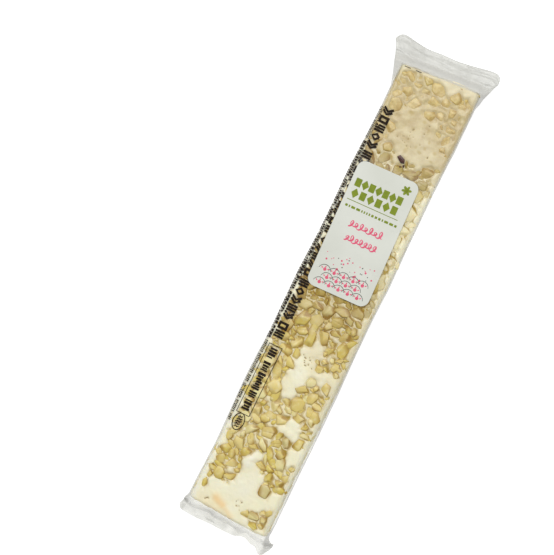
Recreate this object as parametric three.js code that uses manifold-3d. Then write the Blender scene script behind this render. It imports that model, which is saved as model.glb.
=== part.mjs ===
// A soft nougat bar with chopped almonds, sealed in a tight clear flow-pack film
// with a flat fin at each end, and a paper label stuck on its top face.
//
// Millimetres. X runs across the bar, +Y points to its head end, +Z is up.
// The bar lies on its flat underside at Z = 0. Lengths are measured from the middle
// of the nougat slab; FRAME_SHIFT then centres the whole pack on the origin.

import * as THREE from 'three';
import { mergeVertices } from 'three/addons/utils/BufferGeometryUtils.js';
import Module from 'manifold-3d';

// ---- driving dimensions -------------------------------------------------------

const SLAB_HALF_LENGTH = 90;      // nougat slab, 180 long
const TOP_LEVEL = 12.2;           // film over the slab's top face
const SIDE_LEVEL = 5.5;           // height of the pack's widest line
const FLAT_HALF_WIDTH = 14.2;     // flat part of the top face and of the underside
// The film's widest line, from the bar's axis: tight at the head, looser at the foot.
const SIDE_REACH = {
  left: { foot: 16.5, head: 15.2 }, right: { foot: 17.1, head: 15.9 },
};
// A slow ripple of those lines: its height, and each side's length and phase.
const SIDE_RIPPLE = {
  height: 0.2, left: { length: 7, phase: 1.3 }, right: { length: 9, phase: -0.6 },
};

const FIN_HALF_THICKNESS = 0.3;   // a sealed fin, both plies
const CORNER_ROUNDNESS = 2.3;     // superellipse power of the long edges, 2 is an ellipse
const WING_ROUNDNESS = 1.1;       // the same where the film closes to a fin

// Each end: where the film leaves the slab's straight sides, how far its fin reaches,
// over which part of that length it spreads to the full width, and how the fin lies.
// side is +1 at the head and -1 at the foot.
const HEAD = {
  side: 1, endFrom: 80, finEdge: 98.2, endSkew: 0.068, closeLength: 4.2,
  leftReach: 21.7, rightReach: 19.7, leftSpread: [0, 0.95], rightSpread: [0.25, 0.9],
  finLevel: 5.0, wave: 0.45, waveTurns: 0.31, crease: 0.16, rings: 13,
};
const FOOT = {
  side: -1, endFrom: 84.5, finEdge: 95.4, endSkew: 0.048, closeLength: 3.6,
  leftReach: 18.3, rightReach: 19.8, leftSpread: [0.3, 1], rightSpread: [0.45, 0.8],
  finLevel: 2.3, wave: 0.75, waveTurns: 0.52, crease: 0.3, rings: 10,
};
const CREASE_TURNS = { across: 1.35, along: 0.7 };         // slanting creases, per mm
const WAVE_PHASE = 0.8;           // of the slow wave across both fins
const EARLY_CLOSE = 0.6;          // the film starts down this far before the slab ends
const HEAD_CORNER_RISE = 2.6;     // the head fin is longer at its right corner
const FOOT_EAR = { at: 16.6, reach: 2.3, width: 3.2 };    // pointed right ear
const FOOT_NOTCH = { at: 8.6, depth: 1.1, width: 4.0 };   // short place beside it
const FIN_CORNER_DROP = 2.2;      // cut-off of the fins' outer corners
const FIN_CORNER_POWER = 22;      // how close to the corner it stays

const BODY_RINGS = 12;            // sections along the straight part of the pack
const FLAT_COLUMNS = 12;          // facets across a flat face
const CORNER_COLUMNS = 4;         // facets round a long edge

// Chopped almonds standing proud of the slab under the tight film.
const NUTS = {
  seed: 20, darts: 7000, largest: 3.3, smallest: 1.3, spacing: 0.76,
  rise: [0.2, 0.45], sunk: 0.5, stretch: [1.0, 1.9], corners: [4, 7],
  shrink: 0.8, jitter: 0.34, endMargin: 1.6, edgeShare: 0.8,
};
// The pieces that stand out singly, from the foot to the head: middle across and along,
// mean radius, stretch, and the long side's turn from +X in degrees.
const SINGLE_NUTS = [
  [9.4, -88.3, 2.0, 1.3, -5], [8.4, -85.0, 2.2, 1.4, -8], [13.0, -81.8, 1.6, 1.7, 60],
  [-13.0, -81.3, 1.9, 1.5, 80], [-5.7, -75.6, 2.7, 1.2, 50], [8.2, -75.2, 2.8, 1.2, -50],
  [-7.5, -71.1, 2.5, 1.5, 35], [-11.8, -70.7, 2.3, 1.2, 100], [11.6, -70.3, 2.2, 1.5, -8],
  [7.4, -69.9, 2.0, 1.2, 70], [6.2, -67.0, 1.9, 1.3, -15], [9.4, -63.8, 3.0, 1.4, -40],
  [-8.1, -63.0, 2.5, 1.5, -25], [3.7, -61.7, 2.2, 2.1, -65], [-4.8, -60.1, 2.2, 2.0, -65],
  [7.4, -55.6, 2.3, 1.3, -50], [-3.6, -50.7, 2.1, 1.1, 0], [7.6, -45.4, 2.6, 1.2, 30],
  [10.4, -41.8, 2.1, 1.4, -60], [-5.3, -38.9, 3.1, 1.1, 20], [9.0, -36.8, 2.5, 1.3, 75],
  [5.8, -31.7, 2.2, 1.3, 55], [-4.0, -28.7, 2.3, 1.6, -55], [7.0, -23.0, 1.7, 1.2, -10],
  [11.4, -23.0, 2.0, 1.3, 60], [-5.1, -20.9, 2.7, 1.2, 80], [7.0, -18.0, 2.4, 1.3, 75],
  [10.2, -11.5, 2.6, 1.2, 20], [4.9, -7.7, 2.5, 1.1, 0], [4.9, -3.4, 2.6, 1.7, 5],
  [-6.7, 58.7, 2.5, 1.2, 80], [11.5, 69.7, 2.2, 1.8, 75], [7.6, 73.5, 1.7, 1.3, -20],
  [11.3, 76.8, 1.8, 1.4, -15], [5.4, 82.1, 2.1, 1.1, 40], [11.5, 83.0, 2.1, 1.2, 15],
];
// Places where the slab shows bare cream: centre, and half-sizes across and along.
const BARE_PATCHES = [
  { x: 5.9, y: 88.2, across: 8.0, along: 2.6 },
  { x: -2.7, y: 67.5, across: 6.6, along: 8.6 },
  { x: 8.2, y: 62.0, across: 6.0, along: 4.0 },
  { x: 0.9, y: -28.3, across: 3.7, along: 10.6 },
  { x: 8.6, y: -29.0, across: 4.6, along: 3.4 },
  { x: 6.4, y: -50.2, across: 4.4, along: 3.8 },
  { x: 12.1, y: -58.8, across: 2.8, along: 3.6 },
  { x: -1.7, y: -67.2, across: 2.3, along: 2.8 },
  { x: 0.7, y: -79.6, across: 4.6, along: 8.8 },
  { x: -5.2, y: -86.6, across: 8.6, along: 3.2 },
];

const LABEL = {
  width: 24.2, length: 49.6, corner: 3.1, thickness: 0.3, gap: 0.05,
  x: -0.9, y: 25.8, turn: THREE.MathUtils.degToRad(1.9),
};

// The pack's box reaches further at the head and on the left, so the slab's middle
// is moved by this much to bring the origin under the middle of the box.
const FRAME_SHIFT = { x: 0.95, y: -1.59 };

// ---- small helpers ------------------------------------------------------------

const { lerp, clamp, smoothstep } = THREE.MathUtils;

// Linear congruential random numbers in 0..1, the same on every run.
function seededRandom(seed) {
  let state = seed >>> 0;
  return () => {
    state = (Math.imul(1664525, state) + 1013904223) >>> 0;
    return state / 4294967296;
  };
}

// A smooth hump of height 1 at distance 0, gone at a distance of width.
function hump(distance, width) {
  const t = clamp(1 - Math.abs(distance) / width, 0, 1);
  return t * t * (3 - 2 * t);
}

// ---- film-wrapped slab --------------------------------------------------------

// How far along the bar a fin's outer edge lies, at x across the bar.
function finEdge(end, x) {
  const reach = x < 0 ? end.leftReach : end.rightReach;
  const corner = FIN_CORNER_DROP * Math.abs(x / reach) ** FIN_CORNER_POWER;
  if (end === HEAD) {
    return end.finEdge + HEAD_CORNER_RISE * smoothstep(x, 0, end.rightReach) - corner;
  }
  return end.finEdge
    + FOOT_EAR.reach * hump(x - FOOT_EAR.at, FOOT_EAR.width)
    - FOOT_NOTCH.depth * hump(x - FOOT_NOTCH.at, FOOT_NOTCH.width)
    - corner;
}

// Half a section's outline, from its left tip over a flat middle to its right tip.
// Each point is { x, lift }, where lift runs from 0 at a tip to 1 on the flat.
function halfOutline(left, right, power) {
  const points = [];
  const corner = (reach, k) => {
    const angle = (k / CORNER_COLUMNS) * (Math.PI / 2);
    const along = Math.cos(angle) ** (2 / power);
    return { x: FLAT_HALF_WIDTH + (reach - FLAT_HALF_WIDTH) * along,
             lift: Math.sin(angle) ** (2 / power) };
  };
  for (let k = 0; k < CORNER_COLUMNS; k++) {
    const { x, lift } = corner(left, k);
    points.push({ x: -x, lift });
  }
  for (let k = 0; k <= FLAT_COLUMNS; k++) {
    points.push({ x: lerp(-FLAT_HALF_WIDTH, FLAT_HALF_WIDTH, k / FLAT_COLUMNS), lift: 1 });
  }
  for (let k = CORNER_COLUMNS - 1; k >= 0; k--) {
    points.push(corner(right, k));
  }
  return points;
}

// How far the film stands off the bar's axis on each long side at y.
function sideReach(y) {
  const along = (y + SLAB_HALF_LENGTH) / (2 * SLAB_HALF_LENGTH);
  const reach = (side) => {
    const { length, phase } = SIDE_RIPPLE[side];
    return lerp(SIDE_REACH[side].foot, SIDE_REACH[side].head, along)
      + SIDE_RIPPLE.height * Math.sin(y / length + phase);
  };
  return { left: reach('left'), right: reach('right') };
}

// A closed section of the straight part of the pack at y.
function bodySection(y) {
  const { left, right } = sideReach(y);
  const outline = halfOutline(left, right, CORNER_ROUNDNESS);
  return {
    top: outline.map(({ x, lift }) => [x, y, lerp(SIDE_LEVEL, TOP_LEVEL, lift)]),
    bottom: outline.map(({ x, lift }) => [x, y, lerp(SIDE_LEVEL, 0, lift)]),
  };
}

// A section at a fraction t of the way from where the film leaves the straight sides
// (t = 0) to the fin's outer edge (t = 1).
function endSection(end, t) {
  const start = sideReach(end.side * end.endFrom);
  const spread = ([from, to]) => clamp((t - from) / (to - from), 0, 1);
  const left = lerp(start.left, end.leftReach, spread(end.leftSpread));
  const right = lerp(start.right, end.rightReach, spread(end.rightSpread));
  const power = lerp(CORNER_ROUNDNESS, WING_ROUNDNESS, smoothstep(t, 0, 0.6));
  const top = [];
  const bottom = [];
  for (const { x, lift } of halfOutline(left, right, power)) {
    const along = lerp(end.endFrom, finEdge(end, x), t);
    const pastSlab = along - SLAB_HALF_LENGTH - end.endSkew * x + EARLY_CLOSE;
    const closing = smoothstep(pastSlab, 0, end.closeLength);
    const fold = end.wave * Math.sin(end.waveTurns * x + WAVE_PHASE)
      + end.crease * Math.sin(CREASE_TURNS.across * x + CREASE_TURNS.along * along);
    const middle = lerp(SIDE_LEVEL, end.finLevel + fold, closing);
    const thin = FIN_HALF_THICKNESS * lift;
    const high = lerp(lerp(SIDE_LEVEL, TOP_LEVEL, lift), middle + thin, closing);
    const low = lerp(lerp(SIDE_LEVEL, 0, lift), middle - thin, closing);
    top.push([x, end.side * along, high]);
    bottom.push([x, end.side * along, low]);
  }
  return { top, bottom };
}

// All sections from the foot's edge to the head's.
function packSections() {
  const sections = [];
  for (let k = FOOT.rings; k >= 1; k--) {
    sections.push(endSection(FOOT, k / FOOT.rings));
  }
  for (let k = 0; k <= BODY_RINGS; k++) {
    sections.push(bodySection(lerp(-FOOT.endFrom, HEAD.endFrom, k / BODY_RINGS)));
  }
  for (let k = 1; k <= HEAD.rings; k++) {
    sections.push(endSection(HEAD, k / HEAD.rings));
  }
  return sections;
}

// Skins the sections into one closed surface with its faces pointing out.
function packGeometry() {
  const sections = packSections();
  const columns = sections[0].top.length - 1;
  const around = 2 * columns;
  const positions = [];
  const faces = [];
  for (const { top, bottom } of sections) {
    const ring = top.concat(bottom.slice(1, -1).reverse());
    ring.forEach((point) => positions.push(...point));
  }
  const quad = (a, b, c, d) => faces.push(a, b, c, a, c, d);
  for (let s = 0; s + 1 < sections.length; s++) {
    for (let k = 0; k < around; k++) {
      const next = (k + 1) % around;
      quad(s * around + k, s * around + next, (s + 1) * around + next, (s + 1) * around + k);
    }
  }
  const lastRing = (sections.length - 1) * around;
  for (const [start, facesHead] of [[0, false], [lastRing, true]]) {
    for (let k = 0; k < columns; k++) {
      const upper = [start + k, start + k + 1];
      const lower = [start + (around - k) % around, start + around - k - 1];
      const cap = facesHead
        ? [upper[0], upper[1], lower[1], lower[0]]
        : [upper[0], lower[0], lower[1], upper[1]];
      quad(...cap);
    }
  }
  return indexedGeometry(positions, faces);
}

function indexedGeometry(positions, faces) {
  const geometry = new THREE.BufferGeometry();
  geometry.setAttribute('position', new THREE.Float32BufferAttribute(positions, 3));
  geometry.setIndex(faces);
  return geometry;
}

// ---- chopped almonds ----------------------------------------------------------

function inBarePatch(x, y) {
  return BARE_PATCHES.some((patch) =>
    ((x - patch.x) / patch.across) ** 2 + ((y - patch.y) / patch.along) ** 2 < 1);
}

// True where a piece of this radius would lie wholly under the label.
function hiddenByLabel(x, y, radius) {
  const dx = x - LABEL.x;
  const dy = y - LABEL.y;
  const across = dx * Math.cos(LABEL.turn) + dy * Math.sin(LABEL.turn);
  const along = -dx * Math.sin(LABEL.turn) + dy * Math.cos(LABEL.turn);
  return Math.abs(across) + radius < LABEL.width / 2
    && Math.abs(along) + radius < LABEL.length / 2;
}

// Lays the single pieces, then scatters others over the top face, largest first, each
// clear of those before it, and gives each a height and a cut outline.
function placeNuts() {
  const random = seededRandom(NUTS.seed);
  const between = ([low, high]) => lerp(low, high, random());
  const placed = [];
  const lay = (x, y, radius, stretch, turn) => {
    const corners = Math.round(between(NUTS.corners));
    const nut = { x, y, radius, stretch, turn, rise: between(NUTS.rise), angles: [] };
    for (let k = 0; k < corners; k++) {
      nut.angles.push((k + NUTS.jitter * (2 * random() - 1)) * (2 * Math.PI / corners));
    }
    placed.push(nut);
  };
  for (const [x, y, radius, stretch, turn] of SINGLE_NUTS) {
    lay(x, y, radius, stretch, THREE.MathUtils.degToRad(turn));
  }
  for (let dart = 0; dart < NUTS.darts; dart++) {
    const radius = lerp(NUTS.largest, NUTS.smallest, Math.sqrt(dart / NUTS.darts));
    const edge = FLAT_HALF_WIDTH - NUTS.edgeShare * radius;
    const x = lerp(-edge, edge, random());
    const end = SLAB_HALF_LENGTH - NUTS.endMargin - NUTS.edgeShare * radius;
    const y = lerp(-end, end, random());
    const crowded = placed.some((other) =>
      Math.hypot(x - other.x, y - other.y) < NUTS.spacing * (radius + other.radius));
    if (crowded || inBarePatch(x, y)) continue;
    lay(x, y, radius, between(NUTS.stretch), Math.PI * random());
  }
  return placed.filter((nut) => !hiddenByLabel(nut.x, nut.y, nut.radius));
}

// One piece: a cut block with a slanting wall, rooted below the film.
function nutGeometry(nut) {
  const slim = Math.sqrt(nut.stretch);
  const corner = (angle, scale, z) => {
    const along = scale * nut.radius * slim * Math.cos(angle);
    const across = scale * (nut.radius / slim) * Math.sin(angle);
    return [nut.x + along * Math.cos(nut.turn) - across * Math.sin(nut.turn),
            nut.y + along * Math.sin(nut.turn) + across * Math.cos(nut.turn), z];
  };
  const count = nut.angles.length;
  const positions = [];
  for (const [scale, z] of [[1, TOP_LEVEL - NUTS.sunk], [NUTS.shrink, TOP_LEVEL + nut.rise]]) {
    nut.angles.forEach((angle) => positions.push(...corner(angle, scale, z)));
  }
  const faces = [];
  for (let k = 0; k < count; k++) {
    const next = (k + 1) % count;
    faces.push(k, next, count + next, k, count + next, count + k);
  }
  for (let k = 1; k + 1 < count; k++) {
    faces.push(0, k + 1, k, count, count + k, count + k + 1);
  }
  return indexedGeometry(positions, faces);
}

// ---- joining ------------------------------------------------------------------

const wasm = await Module();
wasm.setup();

function toSolid(geometry) {
  const merged = mergeVertices(geometry, 1e-4);
  return new wasm.Manifold(new wasm.Mesh({
    numProp: 3,
    vertProperties: merged.attributes.position.array,
    triVerts: new Uint32Array(merged.index.array),
  }));
}

function fromSolid(solid) {
  const mesh = solid.getMesh();
  const geometry = indexedGeometry(mesh.vertProperties, Array.from(mesh.triVerts));
  geometry.computeVertexNormals();
  return geometry;
}

// ---- the bar ------------------------------------------------------------------

function wrappedBar() {
  let solid = toSolid(packGeometry());
  for (const nut of placeNuts()) {
    solid = solid.add(toSolid(nutGeometry(nut)));
  }
  const cream = new THREE.MeshStandardMaterial({ color: 0xe9dfc2, roughness: 0.3, metalness: 0 });
  const mesh = new THREE.Mesh(fromSolid(solid), cream);
  mesh.name = 'wrapped_bar';
  return mesh;
}

// A rounded rectangle of paper, lying on the highest pieces under the film.
function label() {
  const w = LABEL.width / 2;
  const h = LABEL.length / 2;
  const r = LABEL.corner;
  const outline = new THREE.Shape();
  outline.absarc(w - r, h - r, r, 0, Math.PI / 2);
  outline.absarc(r - w, h - r, r, Math.PI / 2, Math.PI);
  outline.absarc(r - w, r - h, r, Math.PI, 1.5 * Math.PI);
  outline.absarc(w - r, r - h, r, 1.5 * Math.PI, 2 * Math.PI);
  const geometry = new THREE.ExtrudeGeometry(outline, {
    depth: LABEL.thickness, bevelEnabled: false, curveSegments: 7,
  });
  const paper = new THREE.MeshStandardMaterial({ color: 0xf1f2ee, roughness: 0.55, metalness: 0 });
  const mesh = new THREE.Mesh(geometry, paper);
  mesh.name = 'label';
  mesh.position.set(LABEL.x, LABEL.y, TOP_LEVEL + NUTS.rise[1] + LABEL.gap);
  mesh.rotation.z = LABEL.turn;
  return mesh;
}

const bar = new THREE.Group();
bar.name = 'nougat_bar';
bar.add(wrappedBar(), label());
bar.position.set(FRAME_SHIFT.x, FRAME_SHIFT.y, 0);

export default bar;
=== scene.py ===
# A long almond nougat bar, sealed in tight clear film with a fin at each end and a paper
# label on top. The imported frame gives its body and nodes; this script gives it its looks.
#
# Lengths are in millimetres, measured from the middle of the nougat slab, until
# Shell.build() writes them in metres in the frame. +Y points to the head end, +Z is up.

import math

import bpy
import numpy as np
from mathutils import Matrix, Vector


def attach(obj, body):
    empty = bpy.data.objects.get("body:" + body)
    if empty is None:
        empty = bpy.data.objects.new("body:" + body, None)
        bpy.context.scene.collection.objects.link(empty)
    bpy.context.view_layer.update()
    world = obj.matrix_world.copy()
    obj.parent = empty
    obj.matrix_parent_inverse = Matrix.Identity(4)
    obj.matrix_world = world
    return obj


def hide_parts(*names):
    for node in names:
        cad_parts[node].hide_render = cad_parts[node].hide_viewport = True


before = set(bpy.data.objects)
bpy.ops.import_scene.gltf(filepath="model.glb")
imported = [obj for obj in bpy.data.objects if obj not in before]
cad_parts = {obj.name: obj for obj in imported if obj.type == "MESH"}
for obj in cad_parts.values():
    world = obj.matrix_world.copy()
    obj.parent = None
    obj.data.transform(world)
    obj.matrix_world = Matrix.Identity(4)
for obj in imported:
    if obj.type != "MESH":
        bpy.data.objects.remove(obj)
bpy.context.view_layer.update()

# ---- the pack's form, as in the solids ------------------------------------------------

MILLIMETRE = 0.001
FRAME_SHIFT = (0.95, -1.59)     # the slab's middle, seen from the frame's origin

SLAB_HALF_LENGTH = 90.0
TOP_LEVEL = 12.2                # film over the slab's top face
SIDE_LEVEL = 5.5                # height of the pack's widest line
FLAT_HALF_WIDTH = 14.2          # flat part of the top face and of the underside
SIDE_REACH = {"left": (16.5, 15.2), "right": (17.1, 15.9)}      # at the foot and the head
SIDE_RIPPLE = {"height": 0.2, "left": (7, 1.3), "right": (9, -0.6)}  # length and phase

CORNER_ROUNDNESS = 2.3          # superellipse power of the long edges
WING_ROUNDNESS = 1.1            # the same where the film closes to a fin
CORNER_GIRTH = 8.0              # film from a flat face's edge to the widest line

# The two ends. "edge" and "slab_bulge" are humps: place across, half-width, height.
HEAD = {
    "side": 1, "end_from": 80, "fin_edge": 98.2, "end_skew": 0.068, "close_length": 4.2,
    "left_reach": 21.7, "right_reach": 19.7, "left_spread": (0, 0.95),
    "right_spread": (0.25, 0.9), "fin_level": 5.0, "wave": 0.45, "wave_turns": 0.31,
    "crease": 0.05, "milk": 0.62, "relief": 0.24, "thin_right": 0.0, "crumpled": 0.2,
    "uneven": 0.1, "creases": 22, "corner_rise": 2.6,
    "edge": ((-19.5, 6, 0.7), (-9, 7, -0.45)), "slab_bulge": ((6.0, 10.0, 1.0),),
}
FOOT = {
    "side": -1, "end_from": 84.5, "fin_edge": 95.4, "end_skew": 0.048, "close_length": 3.6,
    "left_reach": 18.3, "right_reach": 19.8, "left_spread": (0.3, 1),
    "right_spread": (0.45, 0.8), "fin_level": 2.3, "wave": 0.75, "wave_turns": 0.52,
    "crease": 0.12, "milk": 0.14, "relief": 0.31, "thin_right": 0.6, "crumpled": 0.85,
    "uneven": 0.7, "creases": 12, "corner_rise": 0.0,
    "edge": ((16.6, 3.2, 2.3), (8.6, 4.0, -1.1)), "slab_bulge": ((3.0, 12.0, 0.3),),
}
CREASE_TURNS = {"across": 1.35, "along": 0.7}
WAVE_PHASE = 0.8
EARLY_CLOSE = 0.6               # the slab stops and the film closes this far early
FIN_CORNER_DROP = 2.2           # the fins' corners are rounded off by this much
FIN_CORNER_POWER = 22
FIN_HALF_THICKNESS = 0.14       # the two plies as they are; the solid is a little thicker

NUTS = {
    "seed": 20, "darts": 7000, "largest": 3.3, "smallest": 1.3, "spacing": 0.76,
    "rise": (0.2, 0.45), "stretch": (1.0, 1.9), "corners": (4, 7), "jitter": 0.34,
    "end_margin": 1.6, "edge_share": 0.8,
}
# The pieces that stand out singly, from the foot to the head: middle across and along,
# mean radius, stretch, the long side's turn from +X in degrees, and the almond's tone.
SINGLE_NUTS = [
    (9.4, -88.3, 2.0, 1.3, -5, 0.22), (8.4, -85.0, 2.2, 1.4, -8, 0.93),
    (13.0, -81.8, 1.6, 1.7, 60, 0.5), (-13.0, -81.3, 1.9, 1.5, 80, 0.12),
    (-5.7, -75.6, 2.7, 1.2, 50, 0.5), (8.2, -75.2, 2.8, 1.2, -50, 0.96),
    (-7.5, -71.1, 2.5, 1.5, 35, 0.72), (-11.8, -70.7, 2.3, 1.2, 100, 0.55),
    (11.6, -70.3, 2.2, 1.5, -8, 0.3), (7.4, -69.9, 2.0, 1.2, 70, 0.25),
    (6.2, -67.0, 1.9, 1.3, -15, 0.15), (9.4, -63.8, 3.0, 1.4, -40, 0.9),
    (-8.1, -63.0, 2.5, 1.5, -25, 0.75), (3.7, -61.7, 2.2, 2.1, -65, 0.2),
    (-4.8, -60.1, 2.2, 2.0, -65, 0.6), (7.4, -55.6, 2.3, 1.3, -50, 0.97),
    (-3.6, -50.7, 2.1, 1.1, 0, 0.4), (7.6, -45.4, 2.6, 1.2, 30, 0.5),
    (10.4, -41.8, 2.1, 1.4, -60, 0.45), (-5.3, -38.9, 3.1, 1.1, 20, 0.55),
    (9.0, -36.8, 2.5, 1.3, 75, 0.6), (5.8, -31.7, 2.2, 1.3, 55, 0.9),
    (-4.0, -28.7, 2.3, 1.6, -55, 0.4), (7.0, -23.0, 1.7, 1.2, -10, 0.65),
    (11.4, -23.0, 2.0, 1.3, 60, 0.5), (-5.1, -20.9, 2.7, 1.2, 80, 0.6),
    (7.0, -18.0, 2.4, 1.3, 75, 0.45), (10.2, -11.5, 2.6, 1.2, 20, 0.55),
    (4.9, -7.7, 2.5, 1.1, 0, 0.5), (4.9, -3.4, 2.6, 1.7, 5, 0.65),
    (-6.7, 58.7, 2.5, 1.2, 80, 0.45), (11.5, 69.7, 2.2, 1.8, 75, 0.1),
    (7.6, 73.5, 1.7, 1.3, -20, 0.05), (11.3, 76.8, 1.8, 1.4, -15, 0.0),
    (5.4, 82.1, 2.1, 1.1, 40, 0.4), (11.5, 83.0, 2.1, 1.2, 15, 0.3),
]
# Places where the slab shows bare cream: middle x and y, half-sizes across and along.
BARE_PATCHES = [
    (5.9, 88.2, 8.0, 2.6), (-2.7, 67.5, 6.6, 8.6), (8.2, 62.0, 6.0, 4.0),
    (0.9, -28.3, 3.7, 10.6), (8.6, -29.0, 4.6, 3.4), (6.4, -50.2, 4.4, 3.8),
    (12.1, -58.8, 2.8, 3.6), (-1.7, -67.2, 2.3, 2.8), (0.7, -79.6, 4.6, 8.8),
    (-5.2, -86.6, 8.6, 3.2),
]
# Places that are barer here than in the solids, where only low relief is left off.
CLEARED_PATCHES = [
    (10.0, -79.2, 3.0, 3.4), (12.2, -75.0, 1.6, 1.4), (-7.5, -81.3, 5.5, 3.0),
    (-13.2, -85.0, 1.5, 1.5), (1.0, -71.2, 4.2, 2.4), (-0.5, -64.8, 1.6, 1.4),
    (-1.5, -37.0, 3.4, 5.2), (3.5, -20.7, 2.0, 2.4), (5.6, 67.5, 2.2, 2.2),
    (4.5, 72.4, 1.5, 1.5), (2.6, 59.2, 4.2, 2.2), (-0.3, 55.8, 2.0, 1.8),
]
LABEL = {"width": 24.2, "length": 49.6, "corner": 3.1, "x": -0.9, "y": 25.8, "turn": 1.9}

# ---- looks only -----------------------------------------------------------------------

SLAB_HALF_WIDTH = 14.7
SLAB_LOW, SLAB_HIGH = 0.25, 12.05   # underside and mean top of the nougat itself
SLAB_MIDDLE = (SLAB_LOW + SLAB_HIGH) / 2
SLAB_HALF_HEIGHT = (SLAB_HIGH - SLAB_LOW) / 2
SLAB_EDGE_RADIUS = 1.0
SLAB_SIDE_ROOM = {"film": 0.28, "bulge": 1.6}   # the sides swell out to near the film
FIELD_STEP = 0.2                    # cells of the height fields over the top face
FIELD_X = np.arange(-SLAB_HALF_WIDTH, SLAB_HALF_WIDTH + FIELD_STEP / 2, FIELD_STEP)
FIELD_Y = np.arange(-SLAB_HALF_LENGTH, SLAB_HALF_LENGTH + FIELD_STEP / 2, FIELD_STEP)
FILM_CLEARANCE = 0.06               # the film stays this far off what it lies on
LABEL_LEVEL = 12.55                 # underside of the paper
LABEL_THICKNESS = 0.08
NOISE_CELLS = 256
FULL_TURN = 2 * math.pi


# ---- small helpers --------------------------------------------------------------------

def lerp(low, high, t):
    """From low at t = 0 to high at t = 1."""
    return low + (high - low) * t


def smoothstep(value, low, high):
    """0 below low and 1 above high, with a smooth rise between them."""
    t = np.clip((value - low) / (high - low), 0, 1)
    return t * t * (3 - 2 * t)


def hump(distance, width):
    """A smooth hump of height 1 at distance 0, gone at a distance of width."""
    return smoothstep(1 - np.abs(distance) / width, 0, 1)


def humps(x, rows):
    """The sum of humps, each given by its place, half-width and height."""
    return sum(height * hump(x - at, width) for at, width, height in rows)


def turned(x, y, angle):
    """x and y after a turn by an angle about 0."""
    return (x * math.cos(angle) - y * math.sin(angle),
            x * math.sin(angle) + y * math.cos(angle))


def round_angles(count, shift=0.0):
    """The angles of count points evenly round a circle."""
    return (np.arange(count) + shift) / count * FULL_TURN


def seeded_draws(seed):
    """The linear congruential numbers in 0..1 that the solids draw as well."""
    state = seed

    def draw():
        nonlocal state
        state = (1664525 * state + 1013904223) % 2 ** 32
        return state / 2 ** 32
    return draw


def value_noise(u, v, seed):
    """Smooth random numbers in -1..1 over a plane, with about one bump per unit."""
    lattice = np.random.default_rng(seed).uniform(-1, 1, (NOISE_CELLS, NOISE_CELLS))
    u, v = np.broadcast_arrays(np.asarray(u, float), np.asarray(v, float))
    cell_u, cell_v = np.floor(u).astype(int), np.floor(v).astype(int)
    part_u, part_v = smoothstep(u - cell_u, 0, 1), smoothstep(v - cell_v, 0, 1)

    def corner(du, dv):
        return lattice[(cell_u + du) % NOISE_CELLS, (cell_v + dv) % NOISE_CELLS]
    near = lerp(corner(0, 0), corner(1, 0), part_u)
    far = lerp(corner(0, 1), corner(1, 1), part_u)
    return lerp(near, far, part_v)


def layered_noise(u, v, seed, octaves=3):
    """Value noise with finer and weaker layers on top, still about -1..1."""
    total = sum(0.5 ** k * value_noise(u * 2 ** k, v * 2 ** k, seed + k)
                for k in range(octaves))
    return total / (2 - 0.5 ** (octaves - 1))


def sample_field(field, x, y):
    """A field over the top face, read between its cells at x, y."""
    i = np.clip((x - FIELD_X[0]) / FIELD_STEP, 0, len(FIELD_X) - 1.001)
    j = np.clip((y - FIELD_Y[0]) / FIELD_STEP, 0, len(FIELD_Y) - 1.001)
    i0, j0 = i.astype(int), j.astype(int)
    fi, fj = i - i0, j - j0
    near = lerp(field[i0, j0], field[i0 + 1, j0], fi)
    far = lerp(field[i0, j0 + 1], field[i0 + 1, j0 + 1], fi)
    return lerp(near, far, fj)


def in_label(x, y, margin=0.0):
    """True on the label's outline, drawn in by margin."""
    across, along = turned(x - LABEL["x"], y - LABEL["y"], -math.radians(LABEL["turn"]))
    return ((np.abs(across) < LABEL["width"] / 2 - margin)
            & (np.abs(along) < LABEL["length"] / 2 - margin))


# ---- meshes ---------------------------------------------------------------------------

def link(name, data):
    """A new object in the scene."""
    made = bpy.data.objects.new(name, data)
    bpy.context.scene.collection.objects.link(made)
    return made


class Shell:
    """Points and faces that are gathered patch by patch into one mesh, with a value of
    each named attribute for every point."""

    def __init__(self, *attributes):
        self.points = []
        self.faces = []
        self.values = {name: [] for name in attributes}
        self.count = 0

    def add(self, points, faces, **values):
        """Adds points (n, 3) and faces (m, 3 or 4), counted from this patch's first point."""
        points = np.asarray(points, float).reshape(-1, 3)
        self.points.append(points)
        self.faces.extend([[int(k) + self.count for k in face] for face in faces])
        for name, kept in self.values.items():
            kept.append(np.broadcast_to(np.asarray(values[name], float), len(points)))
        self.count += len(points)

    def build(self, name, material):
        """The shell as an object in the frame, in metres."""
        points = np.concatenate(self.points) + [*FRAME_SHIFT, 0]
        mesh = bpy.data.meshes.new(name)
        mesh.from_pydata((points * MILLIMETRE).tolist(), [], self.faces)
        for attribute, kept in self.values.items():
            layer = mesh.attributes.new(attribute, "FLOAT", "POINT")
            layer.data.foreach_set("value", np.concatenate(kept).astype(np.float32))
        mesh.validate()
        mesh.shade_smooth()
        mesh.materials.append(material)
        return link(name, mesh)


def grid_faces(rows, columns, closed=False):
    """Quads of a rows x columns grid of points. Closed joins the last column to the first."""
    spans = columns if closed else columns - 1
    row, column = np.meshgrid(np.arange(rows - 1), np.arange(spans), indexing="ij")
    after = (column + 1) % columns
    return np.stack([row * columns + column, row * columns + after,
                     (row + 1) * columns + after, (row + 1) * columns + column],
                    axis=-1).reshape(-1, 4)


def fan_faces(middle, first, around):
    """Triangles from a middle point to a ring of points that starts at first."""
    return [[middle, first + k, first + (k + 1) % around] for k in range(around)]


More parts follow.
